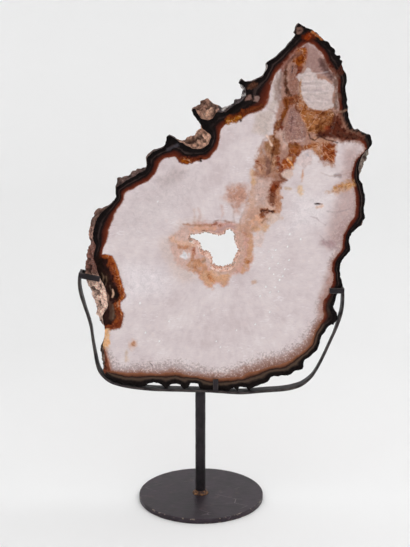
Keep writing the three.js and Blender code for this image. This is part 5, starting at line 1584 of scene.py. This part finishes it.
# %% Shapes that are turned
def turned_piece(profile, sides, ripple, seed, centre=0.0):
    """A profile of [radius, height, wear or none] turned about the upright axis, closed by flat discs."""
    profile = np.array([(*row, 0)[:3] for row in profile], float)
    points = turned(profile, sides)
    angle = np.tile(np.linspace(0, 2 * math.pi, sides, endpoint=False), len(profile))
    bump = rough_noise(points, 6, seed, 3) * ripple
    points[:, 0] += bump * np.cos(angle) + centre
    points[:, 1] += bump * np.sin(angle)
    faces = tube_faces(len(profile), sides).tolist() + end_caps(len(profile), sides)
    return points, faces, {"wear": np.repeat(profile[:, 2], sides)}


PLATE_RADIUS, PLATE_THICKNESS, PLATE_EDGE = 76.0, 6.0, 0.7
POST_RADIUS, POST_X, POST_TOP = 6.15, -0.8, 137.3
corner = np.linspace(0, math.pi / 2, ARC)
rise = np.column_stack([PLATE_RADIUS - PLATE_EDGE + PLATE_EDGE * np.sin(corner),
                        PLATE_EDGE - PLATE_EDGE * np.cos(corner), np.ones(ARC)])
fall = np.column_stack([rise[::-1, 0], PLATE_THICKNESS - rise[::-1, 1], np.ones(ARC)])
plate_profile = [[2, 0], [40, 0], *rise, [PLATE_RADIUS, 2.2], [PLATE_RADIUS, 3.8], *fall,
                 *[[radius, PLATE_THICKNESS] for radius in (73.6, 71, 60, 45, 30, 15, 2)]]
post_profile = [[POST_RADIUS, level] for level in np.linspace(PLATE_THICKNESS, POST_TOP, 60)]

print("plate profile of", len(plate_profile), "points, post profile of", len(post_profile))

# %% Patina of the plate
def plate_patina():
    """Brown-black patina: drawn-out streaks, lathe rings, worn edges, faint rust and fine scratches."""
    f = Finish("plate_patina")
    rings = f.node("ShaderNodeCombineXYZ", None, {0: f.vector("LENGTH", f.place)})
    brush = f.node("ShaderNodeTexNoise", None, {"Vector": rings, "Scale": 700.0, "Detail": 3.0})
    clouds, grit = f.noise(22, 4, 0.6), f.noise(1.2, 3, 0.6)
    drawn = f.noise(2.2, 4, 0.6, place=f.stretched(0.22, 1.0, 1.0))
    tone = clouds * 0.45 + drawn * 0.35 + brush * 0.20
    body = f.blend(f.step(tone, 0.36, 0.64), look(26, 18, 24), look(52, 41, 49))
    wear = f.step(f.mark("wear") + (grit - 0.5) * 0.4, 0.45, 0.85) * f.step(f.noise(6, 3, 0.6), 0.53, 0.64)
    body = f.blend(wear * 0.7, body, look(160, 144, 128))
    rust = f.step(f.noise(14, 4, 0.65), 0.60, 0.70) * 0.15
    body = f.blend(rust, body, look(108, 86, 78))
    scratch = f.node("ShaderNodeTexVoronoi", {"feature": "DISTANCE_TO_EDGE"},
                     {"Vector": f.stretched(0.5, 1.0, 1.0), "Scale": 38.0})
    hair = f.step(scratch, 0.010, 0.004) * f.step(f.noise(30, 2), 0.52, 0.60)
    body = f.blend(hair * 0.3, body, look(150, 138, 140))
    relief = f.bump(drawn * 0.5 + grit * 0.5, 0.15, 0.5)
    return f.surface(Base_Color=body, Roughness=0.34 + clouds * 0.14 + grit * 0.10, Metallic=0.3,
                     Specular_IOR_Level=0.4, Normal=relief)


points, faces, worn = turned_piece(plate_profile, 192, 0.12, 95)
piece("round_plate", points, faces, ["base_plate"], [plate_patina()], marks=worn, sharp=35)
points, faces, worn = turned_piece(post_profile, 64, 0.08, 96, POST_X)
piece("round_post", points, faces, ["post"], [iron], marks=worn, sharp=50)

# %% The weld at the post's foot
WELD_PROFILE = [[6.3, 6.05], [9.9, 6.05], [9.6, 6.6], [8.9, 7.1], [8.1, 7.6], [7.5, 8.2], [7.0, 9.1],
                [6.7, 9.9], [6.3, 10.1]]


def tinted_bead():
    """Rough weld metal between soot black and the straw brown of heated steel."""
    f = Finish("weld_bead")
    warm, pits = f.noise(4, 4, 0.6), f.noise(1.0, 3, 0.6)
    body = f.ramp(warm * 0.7 + pits * 0.3, (0.36, (34, 26, 27)), (0.48, (62, 42, 34)),
                  (0.58, (116, 78, 48)), (0.70, (178, 136, 88)))
    return f.surface(Base_Color=body, Roughness=0.42 + pits * 0.3, Metallic=0.6,
                     Normal=f.bump(pits, 0.5, 0.7))


points, faces, _ = turned_piece(WELD_PROFILE, 96, 0.45, 97, POST_X)
piece("weld_bead", points, faces, ["post_weld"], [tinted_bead()], sharp=180)
